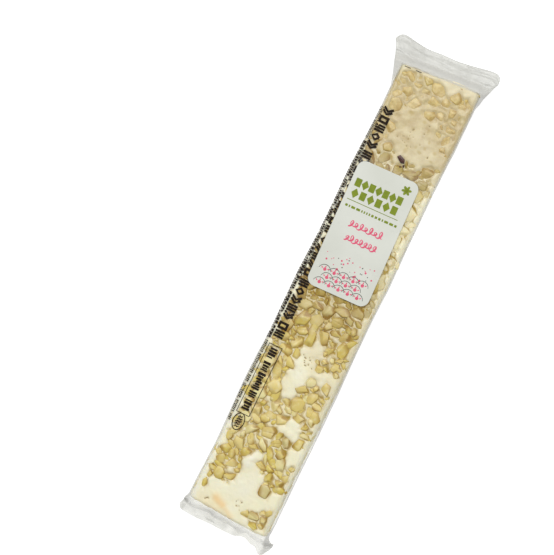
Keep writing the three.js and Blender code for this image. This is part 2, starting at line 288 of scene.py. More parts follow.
def tube_faces(rings, around):
    """Faces of a tube of closed rings, with each end shut by a fan on one added point.
    The two added points follow the rings' points, the first ring's one first."""
    faces = grid_faces(rings, around, closed=True).tolist()
    near_fan = fan_faces(rings * around, 0, around)
    far_fan = fan_faces(rings * around + 1, (rings - 1) * around, around)
    for (near, k, after), far_face in zip(near_fan, far_fan):
        faces += [[near, after, k], far_face]
    return faces


def grid_normals(points):
    """Unit normals of a grid of points (rows, columns, 3), from its neighbours."""
    along = np.gradient(points, axis=0)
    across = np.gradient(points, axis=1)
    normal = np.cross(across, along)
    length = np.linalg.norm(normal, axis=-1, keepdims=True)
    return normal / np.maximum(length, 1e-9)


# ---- almond pieces on the top face ----------------------------------------------------

NUT_ROOT = 10.9             # the pieces are rooted this deep in the cream
NUT_OVERLAP = 1.08          # they reach this much further than in the solids
OUTLINE_SHARPNESS = 36      # how sharp the corners of a chopped piece are
EDGE_SOFTNESS = 0.035       # rounding between two cut faces
# The ranges that each piece's looks are drawn from. Dome and slit are drawn from a list.
NUT_LOOKS = {
    "seed": 4, "tilt": (0.1, 0.7), "gentle_share": 0.35, "gentle": (0.9, 1.7),
    "steep": (2.6, 5.0), "most_cuts": 4, "cut_start": (-0.2, 0.5), "cut_slope": (0.25, 0.75),
    "dome": (0.05, 0.15, 0.35), "sink": (-0.25, 0.3), "slit": (0.0,) * 5 + (0.12,),
    "shade": (0.3, 1.2), "tone": (0.1, 0.9),
}
SLIT = {"half_width": 0.09, "half_length": 0.75, "fade": 0.2}
# Where along the bar the almond's looks change, each from and to.
TOASTED = {"from": (44.0, 66.0), "less": (82.0, 90.0)}
# Under the film's left border the pieces get painted shade.
UNDER_BORDER = {"from": (-28, -18), "to": (62, 74), "across": (8.5, 11.5), "painted_shade": 0.34}
VEIL = {"right": 0.88, "across": (9.5, 11.5), "head": 0.25}
OFF_LABEL = {"foot": 24, "head": 9, "painted_shade": 0.45}        # how far the shade reaches
CROWD_PASSES = 60
NUT_VALUES = ("tone", "rim", "warm", "veil", "dim")
FILLERS = {
    "seed": 31, "darts": 4000, "largest": 2.9, "smallest": 0.85, "spacing": 0.57,
    "rise": (-0.2, 0.2), "stretch": (1, 1.9), "corners": (4, 7), "jitter": 0.3,
    "off_bare": 0.8, "off_label": 2,
}
# The burnt scrap above the label and its two crumbs: middle, mean radius, stretch, turn.
SPECKS = [(-0.4, 56.4, 1.5, 1.7, -28), (1.5, 54.5, 0.5, 1.5, -35), (0.5, 53.7, 0.4, 1.4, 70)]
SPECK = {"seed": 6, "corners": 5, "jitter": 0.23873241, "rise": 0.55, "tilt": 0.15,
         "dome": 0.1, "slope": 12.0}


def chopped(corners, jitter, draw):
    """The angles of a chopped piece's corners. draw gives numbers in -1..1."""
    return [(k + jitter * draw()) * FULL_TURN / corners for k in range(corners)]


def crowded(x, y, radius, others, spacing):
    """True where a piece would lie too near to another for the sum of their radii."""
    return any(math.hypot(x - other["x"], y - other["y"]) < spacing * (radius + other["radius"])
               for other in others)


def chopped_nut(looks, x, y, radius, stretch, turn, rise, angles, tone=None):
    """A piece and how it was chopped: its tilt, how steep each side is, slanting cuts, dome and
    slit, its colour, and how much it is painted darker towards one way, partly brown skin and partly
    painted shade for the piece's shading. At the head end the pieces are flatter and sit deeper. A
    cut is its direction, how far out it starts, and its slope."""
    def between(name):
        return looks.uniform(*NUT_LOOKS[name])

    def any_way():
        return looks.uniform(0, FULL_TURN)

    def side_slope():
        gentle = looks.uniform() < NUT_LOOKS["gentle_share"]
        return (1 - 0.5 * toasted(y)) * between("gentle" if gentle else "steep")
    nut = {"x": x, "y": y, "radius": radius, "stretch": stretch, "turn": turn, "rise": rise,
           "angles": angles, "tilt": between("tilt"), "tilt_way": any_way(),
           "slopes": [side_slope() for _ in angles],
           "cuts": [(any_way(), between("cut_start"), between("cut_slope"))
                    for _ in range(looks.integers(0, NUT_LOOKS["most_cuts"] + 1))],
           "dome": looks.choice(NUT_LOOKS["dome"]),
           "sink": max(0.0, between("sink")) + 0.22 * toasted(y) + 0.3 * veiled(x, y),
           "slit": looks.choice(NUT_LOOKS["slit"]), "shade": between("shade"),
           "shade_way": any_way(), "tone": between("tone")}
    if tone is not None:
        nut["tone"] = tone
    return nut


def place_nuts():
    """The same pieces as in the solids, with looks of its own for each."""
    draw, looks = seeded_draws(NUTS["seed"]), np.random.default_rng(NUT_LOOKS["seed"])
    placed = []

    def lay(x, y, radius, stretch, turn, tone=None):
        corners = math.floor(lerp(*NUTS["corners"], draw()) + 0.5)
        rise = lerp(*NUTS["rise"], draw())
        angles = chopped(corners, NUTS["jitter"], lambda: 2 * draw() - 1)
        placed.append(chopped_nut(looks, x, y, radius, stretch, turn, rise, angles, tone))
    for x, y, radius, stretch, turn, tone in SINGLE_NUTS:
        lay(x, y, radius, stretch, math.radians(turn), tone)
    for dart in range(NUTS["darts"]):
        radius = lerp(NUTS["largest"], NUTS["smallest"], math.sqrt(dart / NUTS["darts"]))
        edge = FLAT_HALF_WIDTH - NUTS["edge_share"] * radius
        x = lerp(-edge, edge, draw())
        end = SLAB_HALF_LENGTH - NUTS["end_margin"] - NUTS["edge_share"] * radius
        y = lerp(-end, end, draw())
        if not (crowded(x, y, radius, placed, NUTS["spacing"]) or in_patch(BARE_PATCHES, x, y)):
            lay(x, y, radius, lerp(*NUTS["stretch"], draw()), math.pi * draw())
    return placed


def in_patch(patches, x, y, margin=0.0):
    """True in one of the oval patches, each widened by margin."""
    return any(((x - px) / (across + margin)) ** 2 + ((y - py) / (along + margin)) ** 2 < 1
               for px, py, across, along in patches)


def cleared(nuts):
    """The pieces that are left outside the cleared patches."""
    return [nut for nut in nuts if not in_patch(CLEARED_PATCHES, nut["x"], nut["y"])]


def place_fillers(nuts):
    """Lower pieces and small chips in the gaps, clear of the bare cream and the label."""
    random = np.random.default_rng(FILLERS["seed"])
    placed = []
    for dart in range(FILLERS["darts"]):
        radius = lerp(FILLERS["largest"], FILLERS["smallest"], (dart / FILLERS["darts"]) ** 0.8)
        x = random.uniform(-1, 1) * (FLAT_HALF_WIDTH + 0.5 - 0.5 * radius)
        y = random.uniform(-1, 1) * (SLAB_HALF_LENGTH - 1.5 - 0.6 * radius)
        if not (crowded(x, y, radius, nuts + placed, FILLERS["spacing"])
                or in_patch(BARE_PATCHES, x, y, FILLERS["off_bare"] * radius)
                or in_label(x, y, FILLERS["off_label"])):
            placed.append(chopped_nut(
                random, x, y, radius, random.uniform(*FILLERS["stretch"]),
                random.uniform(0, math.pi), random.uniform(*FILLERS["rise"]),
                chopped(random.integers(*FILLERS["corners"]), FILLERS["jitter"],
                        lambda: random.uniform(-1, 1))))
    return placed


def burnt_specks():
    """The dark scrap above the label and its two crumbs."""
    looks = np.random.default_rng(SPECK["seed"])
    placed = []
    for x, y, radius, stretch, turn in SPECKS:
        angles = chopped(SPECK["corners"], SPECK["jitter"], lambda: looks.uniform(-1, 1))
        speck = chopped_nut(looks, x, y, radius, stretch, math.radians(turn), SPECK["rise"], angles)
        speck.update(sink=0.0, tilt=SPECK["tilt"], dome=SPECK["dome"], cuts=[], tone=0.0,
                     slopes=[SPECK["slope"]] * SPECK["corners"])
        placed.append(speck)
    return placed


def nut_sides(nut):
    """Each side of the piece's outline: the direction it faces, and its distance."""
    angles = nut["angles"]
    for k, angle in enumerate(angles):
        gap = (angles[(k + 1) % len(angles)] - angle) % FULL_TURN
        middle = angle + gap / 2
        yield math.cos(middle), math.sin(middle), NUT_OVERLAP * max(math.cos(gap / 2), 0.45)


def outline_norm(nut, qx, qy):
    """1 on the piece's outline and 0 in its middle, in the piece's own round space."""
    total = np.zeros(np.broadcast(qx, qy).shape)
    for ux, uy, distance in nut_sides(nut):
        reach = (qx * ux + qy * uy) / distance
        total = total + np.maximum(reach, 0) ** OUTLINE_SHARPNESS
    return total ** (1 / OUTLINE_SHARPNESS)


def nut_height(nut, qx, qy):
    """Height of the piece, the lowest of its cut planes at each point, and how far below
    its top face that is."""
    def along(way):
        return qx * math.cos(way) + qy * math.sin(way)
    top = TOP_LEVEL + nut["rise"] - nut["sink"] - FILM_CLEARANCE
    face = (top - nut["tilt"] * (along(nut["tilt_way"]) + 1) / 2
            - nut["dome"] * (qx ** 2 + qy ** 2))
    planes = [face]
    for way, start, slope in nut["cuts"]:
        planes.append(top - slope * nut["radius"] * (along(way) - start))
    for (ux, uy, distance), slope in zip(nut_sides(nut), nut["slopes"]):
        planes.append(NUT_ROOT + slope * nut["radius"] * (distance - qx * ux - qy * uy))
    soft = sum(np.exp((NUT_ROOT - plane) / EDGE_SOFTNESS) for plane in planes)
    height = NUT_ROOT - EDGE_SOFTNESS * np.log(soft)
    slit = nut["slit"] * (np.exp(-(qy / SLIT["half_width"]) ** 2)
                          * smoothstep(SLIT["half_length"] - np.abs(qx), 0, SLIT["fade"]))
    return height - slit, face - height + 2 * slit


def nut_to_slab(nut, qx, qy):
    """From the piece's round space to x, y on the slab."""
    slim = math.sqrt(nut["stretch"])
    dx, dy = turned(nut["radius"] * slim * qx, nut["radius"] / slim * qy, nut["turn"])
    return nut["x"] + dx, nut["y"] + dy


def slab_to_nut(nut, x, y):
    """From x, y on the slab to the piece's round space."""
    slim = math.sqrt(nut["stretch"])
    along, across = turned(x - nut["x"], y - nut["y"], -nut["turn"])
    return along / (nut["radius"] * slim), across / (nut["radius"] / slim)


def nut_patch(nut, around, rings, seed):
    """One chopped piece as rings of points from its middle to its outline, and how dark each point
    is painted: brown skin mixed with painted shade down its flanks, most on the lee side, and
    painted shade over one side of the piece."""
    angle = round_angles(around)
    qx, qy = np.cos(angle), np.sin(angle)
    reach = 1 / outline_norm(nut, qx, qy)
    reach = reach * (1 + 0.03 * value_noise(2.2 * qx + 5, 2.2 * qy + 5, seed))
    ring = np.linspace(0, 1, rings + 1)[1:, None] ** 0.85
    uneven = value_noise(1.1 * qx + 9, 1.1 * qy + 9, seed + 2)
    qx, qy = ring * reach * qx, ring * reach * qy
    height, below = nut_height(nut, qx, qy)
    x, y = nut_to_slab(nut, qx, qy)
    rough = 0.03 + 0.05 * toasted(nut["y"])
    height = height + rough * value_noise(x / 0.7, y / 0.7, seed + 1)
    middle, _ = nut_height(nut, np.zeros(1), np.zeros(1))
    points = np.vstack([np.stack([x, y, height], axis=-1).reshape(-1, 3),
                        [[nut["x"], nut["y"], float(middle[0])]]])
    faces = (grid_faces(rings, around, closed=True)[:, ::-1].tolist()
             + fan_faces(rings * around, 0, around))
    # Painted shade: the flanks darken with depth below the top face and most on the lee side, brown
    # skin varying with the noise; one side of each piece is painted darker too.
    facing = lee_side(x - nut["x"], y - nut["y"])
    skin_and_lee_shade = lerp(0.2, 1, smoothstep(0.7 * facing + 0.5 * uneven, -0.4, 0.6))
    across, _ = turned(qx, qy, -nut["shade_way"])
    rim = np.maximum(smoothstep(below, 0.06, 0.42) * skin_and_lee_shade,
                     nut["shade"] * smoothstep(across, 0.0, 1.0))
    return points, faces, np.append(rim.reshape(-1), rim[0].mean())


def lee_side(dx, dy):
    """How squarely a way across the slab faces the side on which the edges' painted shade falls,
    -1..1.
    """
    return (0.8 * dx + 0.6 * dy) / np.maximum(np.hypot(dx, dy), 1e-6)


def nut_shell(nuts, around, rings):
    """All pieces of one kind as one mesh, each in rings rings of around points."""
    shell = Shell(*NUT_VALUES)
    for k, nut in enumerate(nuts):
        points, faces, rim = nut_patch(nut, around, rings, 100 + k % 90)
        warm, veil = toasted(nut["y"]), veiled(nut["x"], nut["y"])
        # Painted shade near the label's ends and under the border is added to the rim.
        rim = rim * (1 - 0.1 * warm) * (1 - veil) + painted_shade(nut["x"], nut["y"])
        shell.add(points, faces, tone=nut["tone"], rim=rim, warm=warm, veil=veil,
                  dim=dimmed(nut["y"]))
    return shell


def toasted(y):
    """The head end is a little more toasted than the rest, from 0 to 1."""
    return smoothstep(y, *TOASTED["from"]) * (1 - 0.5 * smoothstep(y, *TOASTED["less"]))


def off_label(y):
    """How far y lies beyond the label's foot end and beyond its head end."""
    return y - LABEL["y"] + LABEL["length"] / 2, y - LABEL["y"] - LABEL["length"] / 2


def painted_shade(x, y):
    """Painted shade on the almond, darker and more brown, just off both ends of the label and under
    the film's border.
    """
    off_foot, off_head = off_label(y)
    border = (smoothstep(y, *UNDER_BORDER["from"]) * (1 - smoothstep(y, *UNDER_BORDER["to"]))
              * smoothstep(-x, *UNDER_BORDER["across"]))
    return (OFF_LABEL["painted_shade"] * (hump(off_foot, OFF_LABEL["foot"])
                                    + hump(off_head - 3, OFF_LABEL["head"]))
            + UNDER_BORDER["painted_shade"] * border)


def dimmed(y):
    """Painted shade: the almond is darker all over just off both ends of the label."""
    off_foot, off_head = off_label(y)
    return np.maximum(0.55 * hump(off_foot, OFF_LABEL["foot"]),
                      hump(off_head - 2, OFF_LABEL["head"]))


def veiled(x, y):
    """How much cream is smeared over the almond: nearly all of it on the label's right,
    and some at the head end."""
    beside = smoothstep(1 - np.abs(y - LABEL["y"]) / LABEL["length"], 0.35, 0.5)
    return VEIL["right"] * beside * smoothstep(x, *VEIL["across"]) + VEIL["head"] * toasted(y)


def nut_fields(nuts):
    """Two fields over the top face: the highest piece at each cell, and the distance
    to the nearest piece's outline, less than 0 inside one."""
    top = np.full((len(FIELD_X), len(FIELD_Y)), NUT_ROOT)
    gap = np.full(top.shape, 9.0)
    for nut in nuts:
        span = nut["radius"] * math.sqrt(nut["stretch"]) + 1.2
        i = slice(*np.searchsorted(FIELD_X, [nut["x"] - span, nut["x"] + span]))
        j = slice(*np.searchsorted(FIELD_Y, [nut["y"] - span, nut["y"] + span]))
        x, y = np.meshgrid(FIELD_X[i], FIELD_Y[j], indexing="ij")
        qx, qy = slab_to_nut(nut, x, y)
        norm = outline_norm(nut, qx, qy)
        height, _ = nut_height(nut, qx, qy)
        thin = nut["radius"] / math.sqrt(nut["stretch"])
        top[i, j] = np.where(norm < 1, np.maximum(top[i, j], height), top[i, j])
        gap[i, j] = np.minimum(gap[i, j], (norm - 1) * thin)
    return top, gap


def mean_of_neighbours(field):
    """The mean of the four cells beside each inner cell."""
    return (field[:-2, 1:-1] + field[2:, 1:-1] + field[1:-1, :-2] + field[1:-1, 2:]) / 4


def crowding(gap):
    """How much of the face round each cell is almond, from 0 to 1."""
    share = (gap < 0).astype(float)
    for _ in range(CROWD_PASSES):
        share[1:-1, 1:-1] = mean_of_neighbours(share)
    return share


# ---- nougat slab ----------------------------------------------------------------------

CREVICE = {"width": 0.35, "depth": 0.2, "among_nuts": 0.35, "under_nut": 0.4}
# Streaks and lumps in the cream: from x, y to x, y, half-width, how far they stand up,
# and their tint, above 0 orange and below 0 whiter.
CREAM_STREAKS = [
    (-7.0, -84.8, -3.6, -86.2, 1.6, 0.1, 1.0), (-3.6, -86.2, 0.8, -88.8, 1.3, 0.06, 0.6),
    (-1.7, -66.2, -1.7, -68.2, 2.3, 0.45, -0.7), (-11.5, -87.6, -2.0, -89.8, 2.6, 0.0, 0.3),
    (-4.5, -24.0, 1.5, -33.0, 3.0, 0.1, -0.5), (2.5, -72.0, 1.0, -80.0, 4.0, 0.12, -0.3),
    (2.0, 66.0, 8.0, 62.0, 3.0, 0.08, -0.2),
]
# Clusters of small open pores: middle, spread, and count.
PORES = [(2.3, -84.0, 2.0, 10), (1.6, -26.0, 2.4, 16), (-1.2, 65.0, 2.6, 13),
         (-9.6, -86.3, 0.7, 4), (3.0, 69.0, 3.0, 4), (8.0, 61.0, 3.0, 3)]
PORE = {"radius": 0.28, "sizes": (0.5, 1.2), "depth": 0.35, "hollow": 0.8, "around": 10,
        "seed": 77, "narrow": 0.6}      # a cluster is narrower across than along
# Almond chips sunk in the toasted cream: x, y, half-sizes across and along.
SUNKEN_CHIPS = [
    (9.7, 63.5, 0.8, 0.7), (4.5, 61.5, 0.9, 0.6), (5.7, 63.6, 0.6, 0.7),
    (2.5, 62.8, 0.5, 0.9), (7.6, 69.0, 1.2, 1.0), (4.3, 69.5, 0.7, 1.0),
    (-0.4, 60.2, 0.9, 1.7), (1.5, 72.4, 0.8, 0.8), (9.8, 60.2, 0.8, 0.5),
    (-4.6, 73.3, 1.3, 0.9), (6.2, 66.4, 0.5, 0.7),
]
# Points along the underside, the right side, the top and the left side of its section,
# and round each of its edges.
SECTION_STEPS = (20, 14, 78, 14)
EDGE_STEPS = 6
STATIONS = 500


def sunken_chips(x, y):
    """1 on a chip that shows faintly through the cream over it, fading at its outline."""
    away = [np.hypot((x - middle_x) / across, (y - middle_y) / along)
            for middle_x, middle_y, across, along in SUNKEN_CHIPS]
    return np.exp(-np.min(away, axis=0) ** 4)


def streak_share(streak, x, y):
    """1 along the middle of a streak, fading over its half-width."""
    x0, y0, x1, y1, half_width = streak[:5]
    dx, dy = x1 - x0, y1 - y0
    t = np.clip(((x - x0) * dx + (y - y0) * dy) / (dx * dx + dy * dy), 0, 1)
    away = np.hypot(x - x0 - t * dx, y - y0 - t * dy) / half_width
    return np.exp(-away ** 2)


def cream_tint(x, y, z):
    """How toasted the cream is, from -1, white, to 1, peach, and how orange, from 0 to 1.
    The streaks are on the top face alone, and the head end is paler down its sides. Along the top of
    the left edge it is painted whiter, painted light for the lit film wall over it."""
    orange, white = 0.0 * x, 0.0 * x
    for streak in CREAM_STREAKS:
        tint = streak[6] * streak_share(streak, x, y)
        orange, white = np.maximum(orange, tint), np.minimum(white, tint)
    # Painted light: the top of the left edge is painted whiter, as the lit film wall over it looks.
    white = np.minimum(white, -0.8 * smoothstep(-x, 13.6, 14.8) * (1 - toasted(y)))
    high = smoothstep(z, 8.5, SLAB_HIGH - 0.6)
    peach = lerp(0.5, 0.95, high) * toasted(y) + 0.3 * hump(y + 14, 40)
    return white * high + peach, orange * high


def pores():
    """Middle and radius of each open pore in the cream."""
    random = np.random.default_rng(PORE["seed"])
    return [(middle_x + PORE["narrow"] * spread * random.normal(),
             middle_y + spread * random.normal(), PORE["radius"] * random.uniform(*PORE["sizes"]))
            for middle_x, middle_y, spread, count in PORES for _ in range(count)]


def pore_field(x, y):
    """1 in the middle of a pore, fading over its radius."""
    field = 0 * x + 0 * y
    for px, py, radius in pores():
        field = np.maximum(field, np.exp(-((x - px) ** 2 + (y - py) ** 2) / radius ** 2))
    return field


def pore_hollows(cream_top):
    """Dark discs at the bottoms of the pores, a painted shadow in each hollow, a little uneven."""
    random = np.random.default_rng(PORE["seed"] + 1)
    shell = Shell("wear")
    around = PORE["around"]
    angle = round_angles(around)
    for px, py, radius in pores():
        reach = PORE["hollow"] * radius * random.uniform(0.7, 1.2, around)
        x = np.append(px + reach * np.cos(angle), px)
        y = np.append(py + reach * np.sin(angle), py)
        z = np.full(around + 1, sample_field(cream_top, x, y).max() + 0.02)
        shell.add(np.stack([x, y, z], axis=-1), fan_faces(around, 0, around),
                  wear=random.uniform())
    return shell


def slab_top_field(gap, crowd):
    """Height of the cream itself over the top face: uneven, with a crevice round most
    almond pieces, lower where they crowd, and dished under them so that it holds their
    edges."""
    x, y = FIELD_X[:, None], FIELD_Y[None, :]
    swell = 0.14 * layered_noise(x / 4, y / 4, 11) + 0.04 * layered_noise(x / 1.1, y / 1.1, 17)
    swell = swell + sum(streak[5] * streak_share(streak, x, y) for streak in CREAM_STREAKS)
    depth = CREVICE["depth"] * smoothstep(value_noise(x / 2.0, y / 2.0, 23), -0.7, 0.8)
    crevice = (depth * np.exp(-(np.maximum(gap, 0) / CREVICE["width"]) ** 2)
               + CREVICE["among_nuts"] * smoothstep(crowd, 0.45, 0.8) * (1 - 0.6 * toasted(y))
               + CREVICE["under_nut"] * smoothstep(-gap, 0, 0.9))
    return SLAB_HIGH + swell - crevice - PORE["depth"] * pore_field(x, y)


def slab_section():
    """Points round the slab's section, with outward normals, anticlockwise from the
    middle of the underside as seen from the foot. Each is x, z, normal x, normal z."""
    radius = SLAB_EDGE_RADIUS
    half_width, half_height = SLAB_HALF_WIDTH - radius, SLAB_HALF_HEIGHT - radius
    corners = [(half_width, -half_height), (half_width, half_height),
               (-half_width, half_height), (-half_width, -half_height)]
    points = []
    for k, (corner, steps) in enumerate(zip(corners, SECTION_STEPS)):
        before, start = corners[k - 1], 90 * (k - 1)
        flat = [(step / steps, start) for step in range(1, steps)]
        edge = [(1, start + 90 * step / EDGE_STEPS) for step in range(EDGE_STEPS + 1)]
        for share, angle in flat + edge:
            nx, nz = math.cos(math.radians(angle)), math.sin(math.radians(angle))
            points.append((lerp(before[0], corner[0], share) + radius * nx,
                           SLAB_MIDDLE + lerp(before[1], corner[1], share) + radius * nz, nx, nz))
    return np.array(points)


def slab_end(end, x):
    """Where the slab ends, on the end's own side of its middle, at x across it."""
    return (SLAB_HALF_LENGTH - EARLY_CLOSE + end["end_skew"] * x
            + humps(x, end["slab_bulge"]))


def side_bulge(y, z, left):
    """How far a long side swells out at a height z, without touching the film."""
    room = np.where(left, side_reach(y)[0], side_reach(y)[1]) - SLAB_SIDE_ROOM["film"]
    most = np.clip(room - SLAB_HALF_WIDTH, 0, SLAB_SIDE_ROOM["bulge"])
    return most * (1 - np.clip((z - SLAB_MIDDLE) / SLAB_HALF_HEIGHT, -1, 1) ** 2)


def slab_stations():
    """Rings along the slab, as how far from the foot (-1) to the head (1), and how far
    each ring is drawn in from the full section, to round the ends."""
    cap = [(1.0, SLAB_HALF_HEIGHT * share) for share in (0.985, 0.86, 0.72, 0.58, 0.44, 0.33)]
    for angle in np.radians(np.linspace(8, 90, 8)):
        back = SLAB_EDGE_RADIUS * (1 - math.cos(angle))
        cap.append((1 - back / SLAB_HALF_LENGTH, SLAB_EDGE_RADIUS * (1 - math.sin(angle))))
    last = cap[-1][0]
    body = [(t, 0.0) for t in np.linspace(last, -last, STATIONS)[1:-1]]
    return cap + body + [(-t, inset) for t, inset in reversed(cap)]


def slab_rings(section, stations):
    """The slab's plain form, as a ring of points at each station from foot to head."""
    rings = []
    for t, inset in stations:
        x = section[:, 0] * (1 - inset / SLAB_HALF_WIDTH)
        z = SLAB_MIDDLE + (section[:, 1] - SLAB_MIDDLE) * (1 - inset / SLAB_HALF_HEIGHT)
        y = lerp(-slab_end(FOOT, x), slab_end(HEAD, x), (t + 1) / 2)
        rings.append(np.stack([x, y, z], axis=-1))
    return np.array(rings)[::-1]


def crevice_shade(x, y, gap, crowd):
    """How dark the top face is painted at x, y: painted shade in the crevices, round every piece and
    among crowded pieces, most on their lee side, and in the pores, with the tone of the sunken chips
    that show through the cream."""
    off = np.maximum(sample_field(gap, x, y), 0)
    away_x, away_y = (sample_field(slope, x, y) for slope in np.gradient(gap, FIELD_STEP))
    lee = smoothstep(lee_side(away_x, away_y), -0.5, 0.6)
    packed = smoothstep(sample_field(crowd, x, y), 0.42, 0.72)
    broken = smoothstep(value_noise(x / 1.7, y / 1.7, 29), -0.35, 0.6)
    line = np.maximum(np.exp(-off / 0.28) * broken * lerp(0.35, 1, packed), 0.85 * packed)
    halo = 0.13 * np.exp(-(off / 0.8) ** 2)
    shade = np.maximum(line, halo) * lerp(0.4, 1.15, lee) * (1 - 0.8 * toasted(y))
    return np.maximum.reduce([shade, 0.7 * pore_field(x, y), 0.42 * sunken_chips(x, y)])


def nougat_slab(cream_top, gap, crowd):
    """The slab, rough on its sides, with the cream's own height over its top face."""
    section, stations = slab_section(), slab_stations()
    points = slab_rings(section, stations)
    normal = -grid_normals(points)
    x, y, z = np.moveaxis(points, -1, 0).copy()
    side_way, up = section[None, :, 2], section[None, :, 3]
    points[..., 0] += side_bulge(y, z, x < 0) * side_way
    rough = (0.09 * layered_noise((x + 40) / 3.1 + z / 2.7, y / 3.4, 41)
             + 0.04 * value_noise(x + z, y / 0.9, 47))
    lifted = points.copy()
    lifted[..., 2] += sample_field(cream_top, x, y) - SLAB_HIGH
    full = np.array([inset for _, inset in stations])[::-1, None] < 0.4
    on_top = np.where(full, np.clip((up - 0.5) / 0.5, 0, 1), 0)
    points = lerp(points + normal * rough[..., None], lifted, on_top[..., None])
    # Painted shade of the crevices, of the crowded gaps and of the pores, with the sunken chips'
    # tone, goes into the crevice value.
    crevice = crevice_shade(x, y, gap, crowd) * (on_top > 0)
    values = zip(("crevice", "tint", "orange"), (crevice, *cream_tint(x, y, z)))
    shell = Shell("crevice", "tint", "orange")
    shell.add(np.vstack([points.reshape(-1, 3), points[0].mean(0), points[-1].mean(0)]),
              tube_faces(*points.shape[:2]),
              **{name: np.append(value, [0, 0]) for name, value in values})
    return shell


# ---- almond pieces cut through at the sides, ends and underside -----------------------

def side_faces():
    """The slab's cut faces: origin, its two directions, the way out, the half-sizes of
    its flat part, and how many pieces show."""
    tall, wide, long = SLAB_HALF_HEIGHT - 1.0, SLAB_HALF_WIDTH - 1.5, SLAB_HALF_LENGTH - 2.5
    up = (0, 0, 1)
    faces = [((way * SLAB_HALF_WIDTH, 0, SLAB_MIDDLE), (0, way, 0), up, (way, 0, 0), long, tall, 95)
             for way in (1, -1)]
    for end in (HEAD, FOOT):
        way = end["side"]
        faces.append(((0, way * slab_end(end, 0), SLAB_MIDDLE), (-way, -end["end_skew"], 0), up,
                      (0, way, 0), wide, tall, 14))
    faces.append(((0, 0, SLAB_LOW), (0, 1, 0), (1, 0, 0), (0, 0, -1), long, wide, 120))
    return faces


CUT_NUTS = {"seed": 57, "darts": 40, "largest": 2.4, "smallest": 0.9, "spacing": 0.95,
            "corners": (4, 8), "jitter": 0.25, "stretch": (1, 1.5), "rise": (0.05, 0.25)}


def cut_face_nuts(random, half_a, half_b, count):
    """The pieces of one cut face, placed across and along it from its middle."""
    placed = []
    darts = count * CUT_NUTS["darts"]
    for dart in range(darts):
        if len(placed) == count:
            break
        radius = lerp(CUT_NUTS["largest"], CUT_NUTS["smallest"], dart / darts)
        a = random.uniform(-half_a, half_a)
        b = random.uniform(-1, 1) * (half_b - 0.5 * radius)
        if crowded(a, b, radius, placed, CUT_NUTS["spacing"]):
            continue
        corners = random.integers(*CUT_NUTS["corners"])
        nut = chopped_nut(random, a, b, radius, random.uniform(*CUT_NUTS["stretch"]),
                          random.uniform(0, math.pi), random.uniform(*CUT_NUTS["rise"]),
                          chopped(corners, CUT_NUTS["jitter"], lambda: random.uniform(-1, 1)))
        nut.update(tilt=0.08, dome=0.05, sink=0.0, cuts=[])
        placed.append(nut)
    return placed


def cut_nuts():
    """Almond pieces that show at the slab's cut faces, almost flush with them."""
    random = np.random.default_rng(CUT_NUTS["seed"])
    shell = Shell(*NUT_VALUES)
    for origin, along, across, outward, half_a, half_b, count in side_faces():
        basis = np.array([along, across, outward], float)
        for k, nut in enumerate(cut_face_nuts(random, half_a, half_b, count)):
            points, faces, rim = nut_patch(nut, 22, 6, 200 + (k + 1) % 90)
            if np.linalg.det(basis) < 0:
                faces = [face[::-1] for face in faces]
            points = np.array(origin) + (points - [0, 0, TOP_LEVEL]) @ basis
            if outward[0]:
                points[:, 0] += outward[0] * side_bulge(points[:, 1], points[:, 2], outward[0] < 0)
            veil = 0.6 * smoothstep(points[:, 2], 6.5, 9.5) * abs(outward[0])
            shell.add(points, faces, tone=nut["tone"], rim=rim * (1 - veil),
                      warm=toasted(points[:, 1]), veil=veil, dim=0)
    return shell


# ---- film -----------------------------------------------------------------------------

FILM_SAG = {"passes": 500, "each": 0.0012}      # smoothing passes over the top face
UNDER_LABEL = 0.03              # the film lies this far under the paper
FILM_FLAT_COLUMNS = 70
FILM_CORNER_COLUMNS = 13
FILM_BODY_RINGS = 362
FILM_END_RINGS = {"head": 80, "foot": 50}
SIDE_WRINKLES = {"straight": 0.11, "ends": 0.25}
SIDE_MILK = 0.42
LEFT_SWELL = (0.6, -78, -25)                    # how far, and from where to where it grows
RIGHT_SWELLS = ((-62, 30, 0.4), (26, 15, -0.3))     # humps along the side
# Long folds that run out of each corner of the slab, as humps beside that line.
CORNER_FOLDS = ((0.0, 1.1, 1.0), (2.3, 0.9, -0.6), (-2.0, 0.8, 0.5))


def taut_film(nut_top, cream_top):
    """Height of the film stretched over the top face: it lies on what stands highest
    and spans what is lower, sagging a little."""
    x, y = np.meshgrid(FIELD_X, FIELD_Y, indexing="ij")
    rest = np.maximum(nut_top, cream_top) + FILM_CLEARANCE
    rest = np.where(in_label(x, y), LABEL_LEVEL - UNDER_LABEL, rest)
    film = np.maximum(rest, TOP_LEVEL - 0.1)
    for _ in range(FILM_SAG["passes"]):
        film[1:-1, 1:-1] = np.maximum(mean_of_neighbours(film) - FILM_SAG["each"],
                                      rest[1:-1, 1:-1])
    return film


def film_outline(girth, left, right, power):
    """Across position and lift, 0 at the widest line and 1 on the flat, of a point of the
    film's upper half. girth is measured along the film from the middle of the top."""
    beyond = np.clip(np.abs(girth) - FLAT_HALF_WIDTH, 0, CORNER_GIRTH) / CORNER_GIRTH
    angle = (1 - beyond) * math.pi / 2
    out = np.maximum(np.cos(angle), 0) ** (2 / power)
    reach = np.where(girth < 0, left, right)
    flat = np.minimum(np.abs(girth), FLAT_HALF_WIDTH)
    x = np.sign(girth) * (flat + (reach - FLAT_HALF_WIDTH) * out)
    return x, np.sin(angle) ** (2 / power)


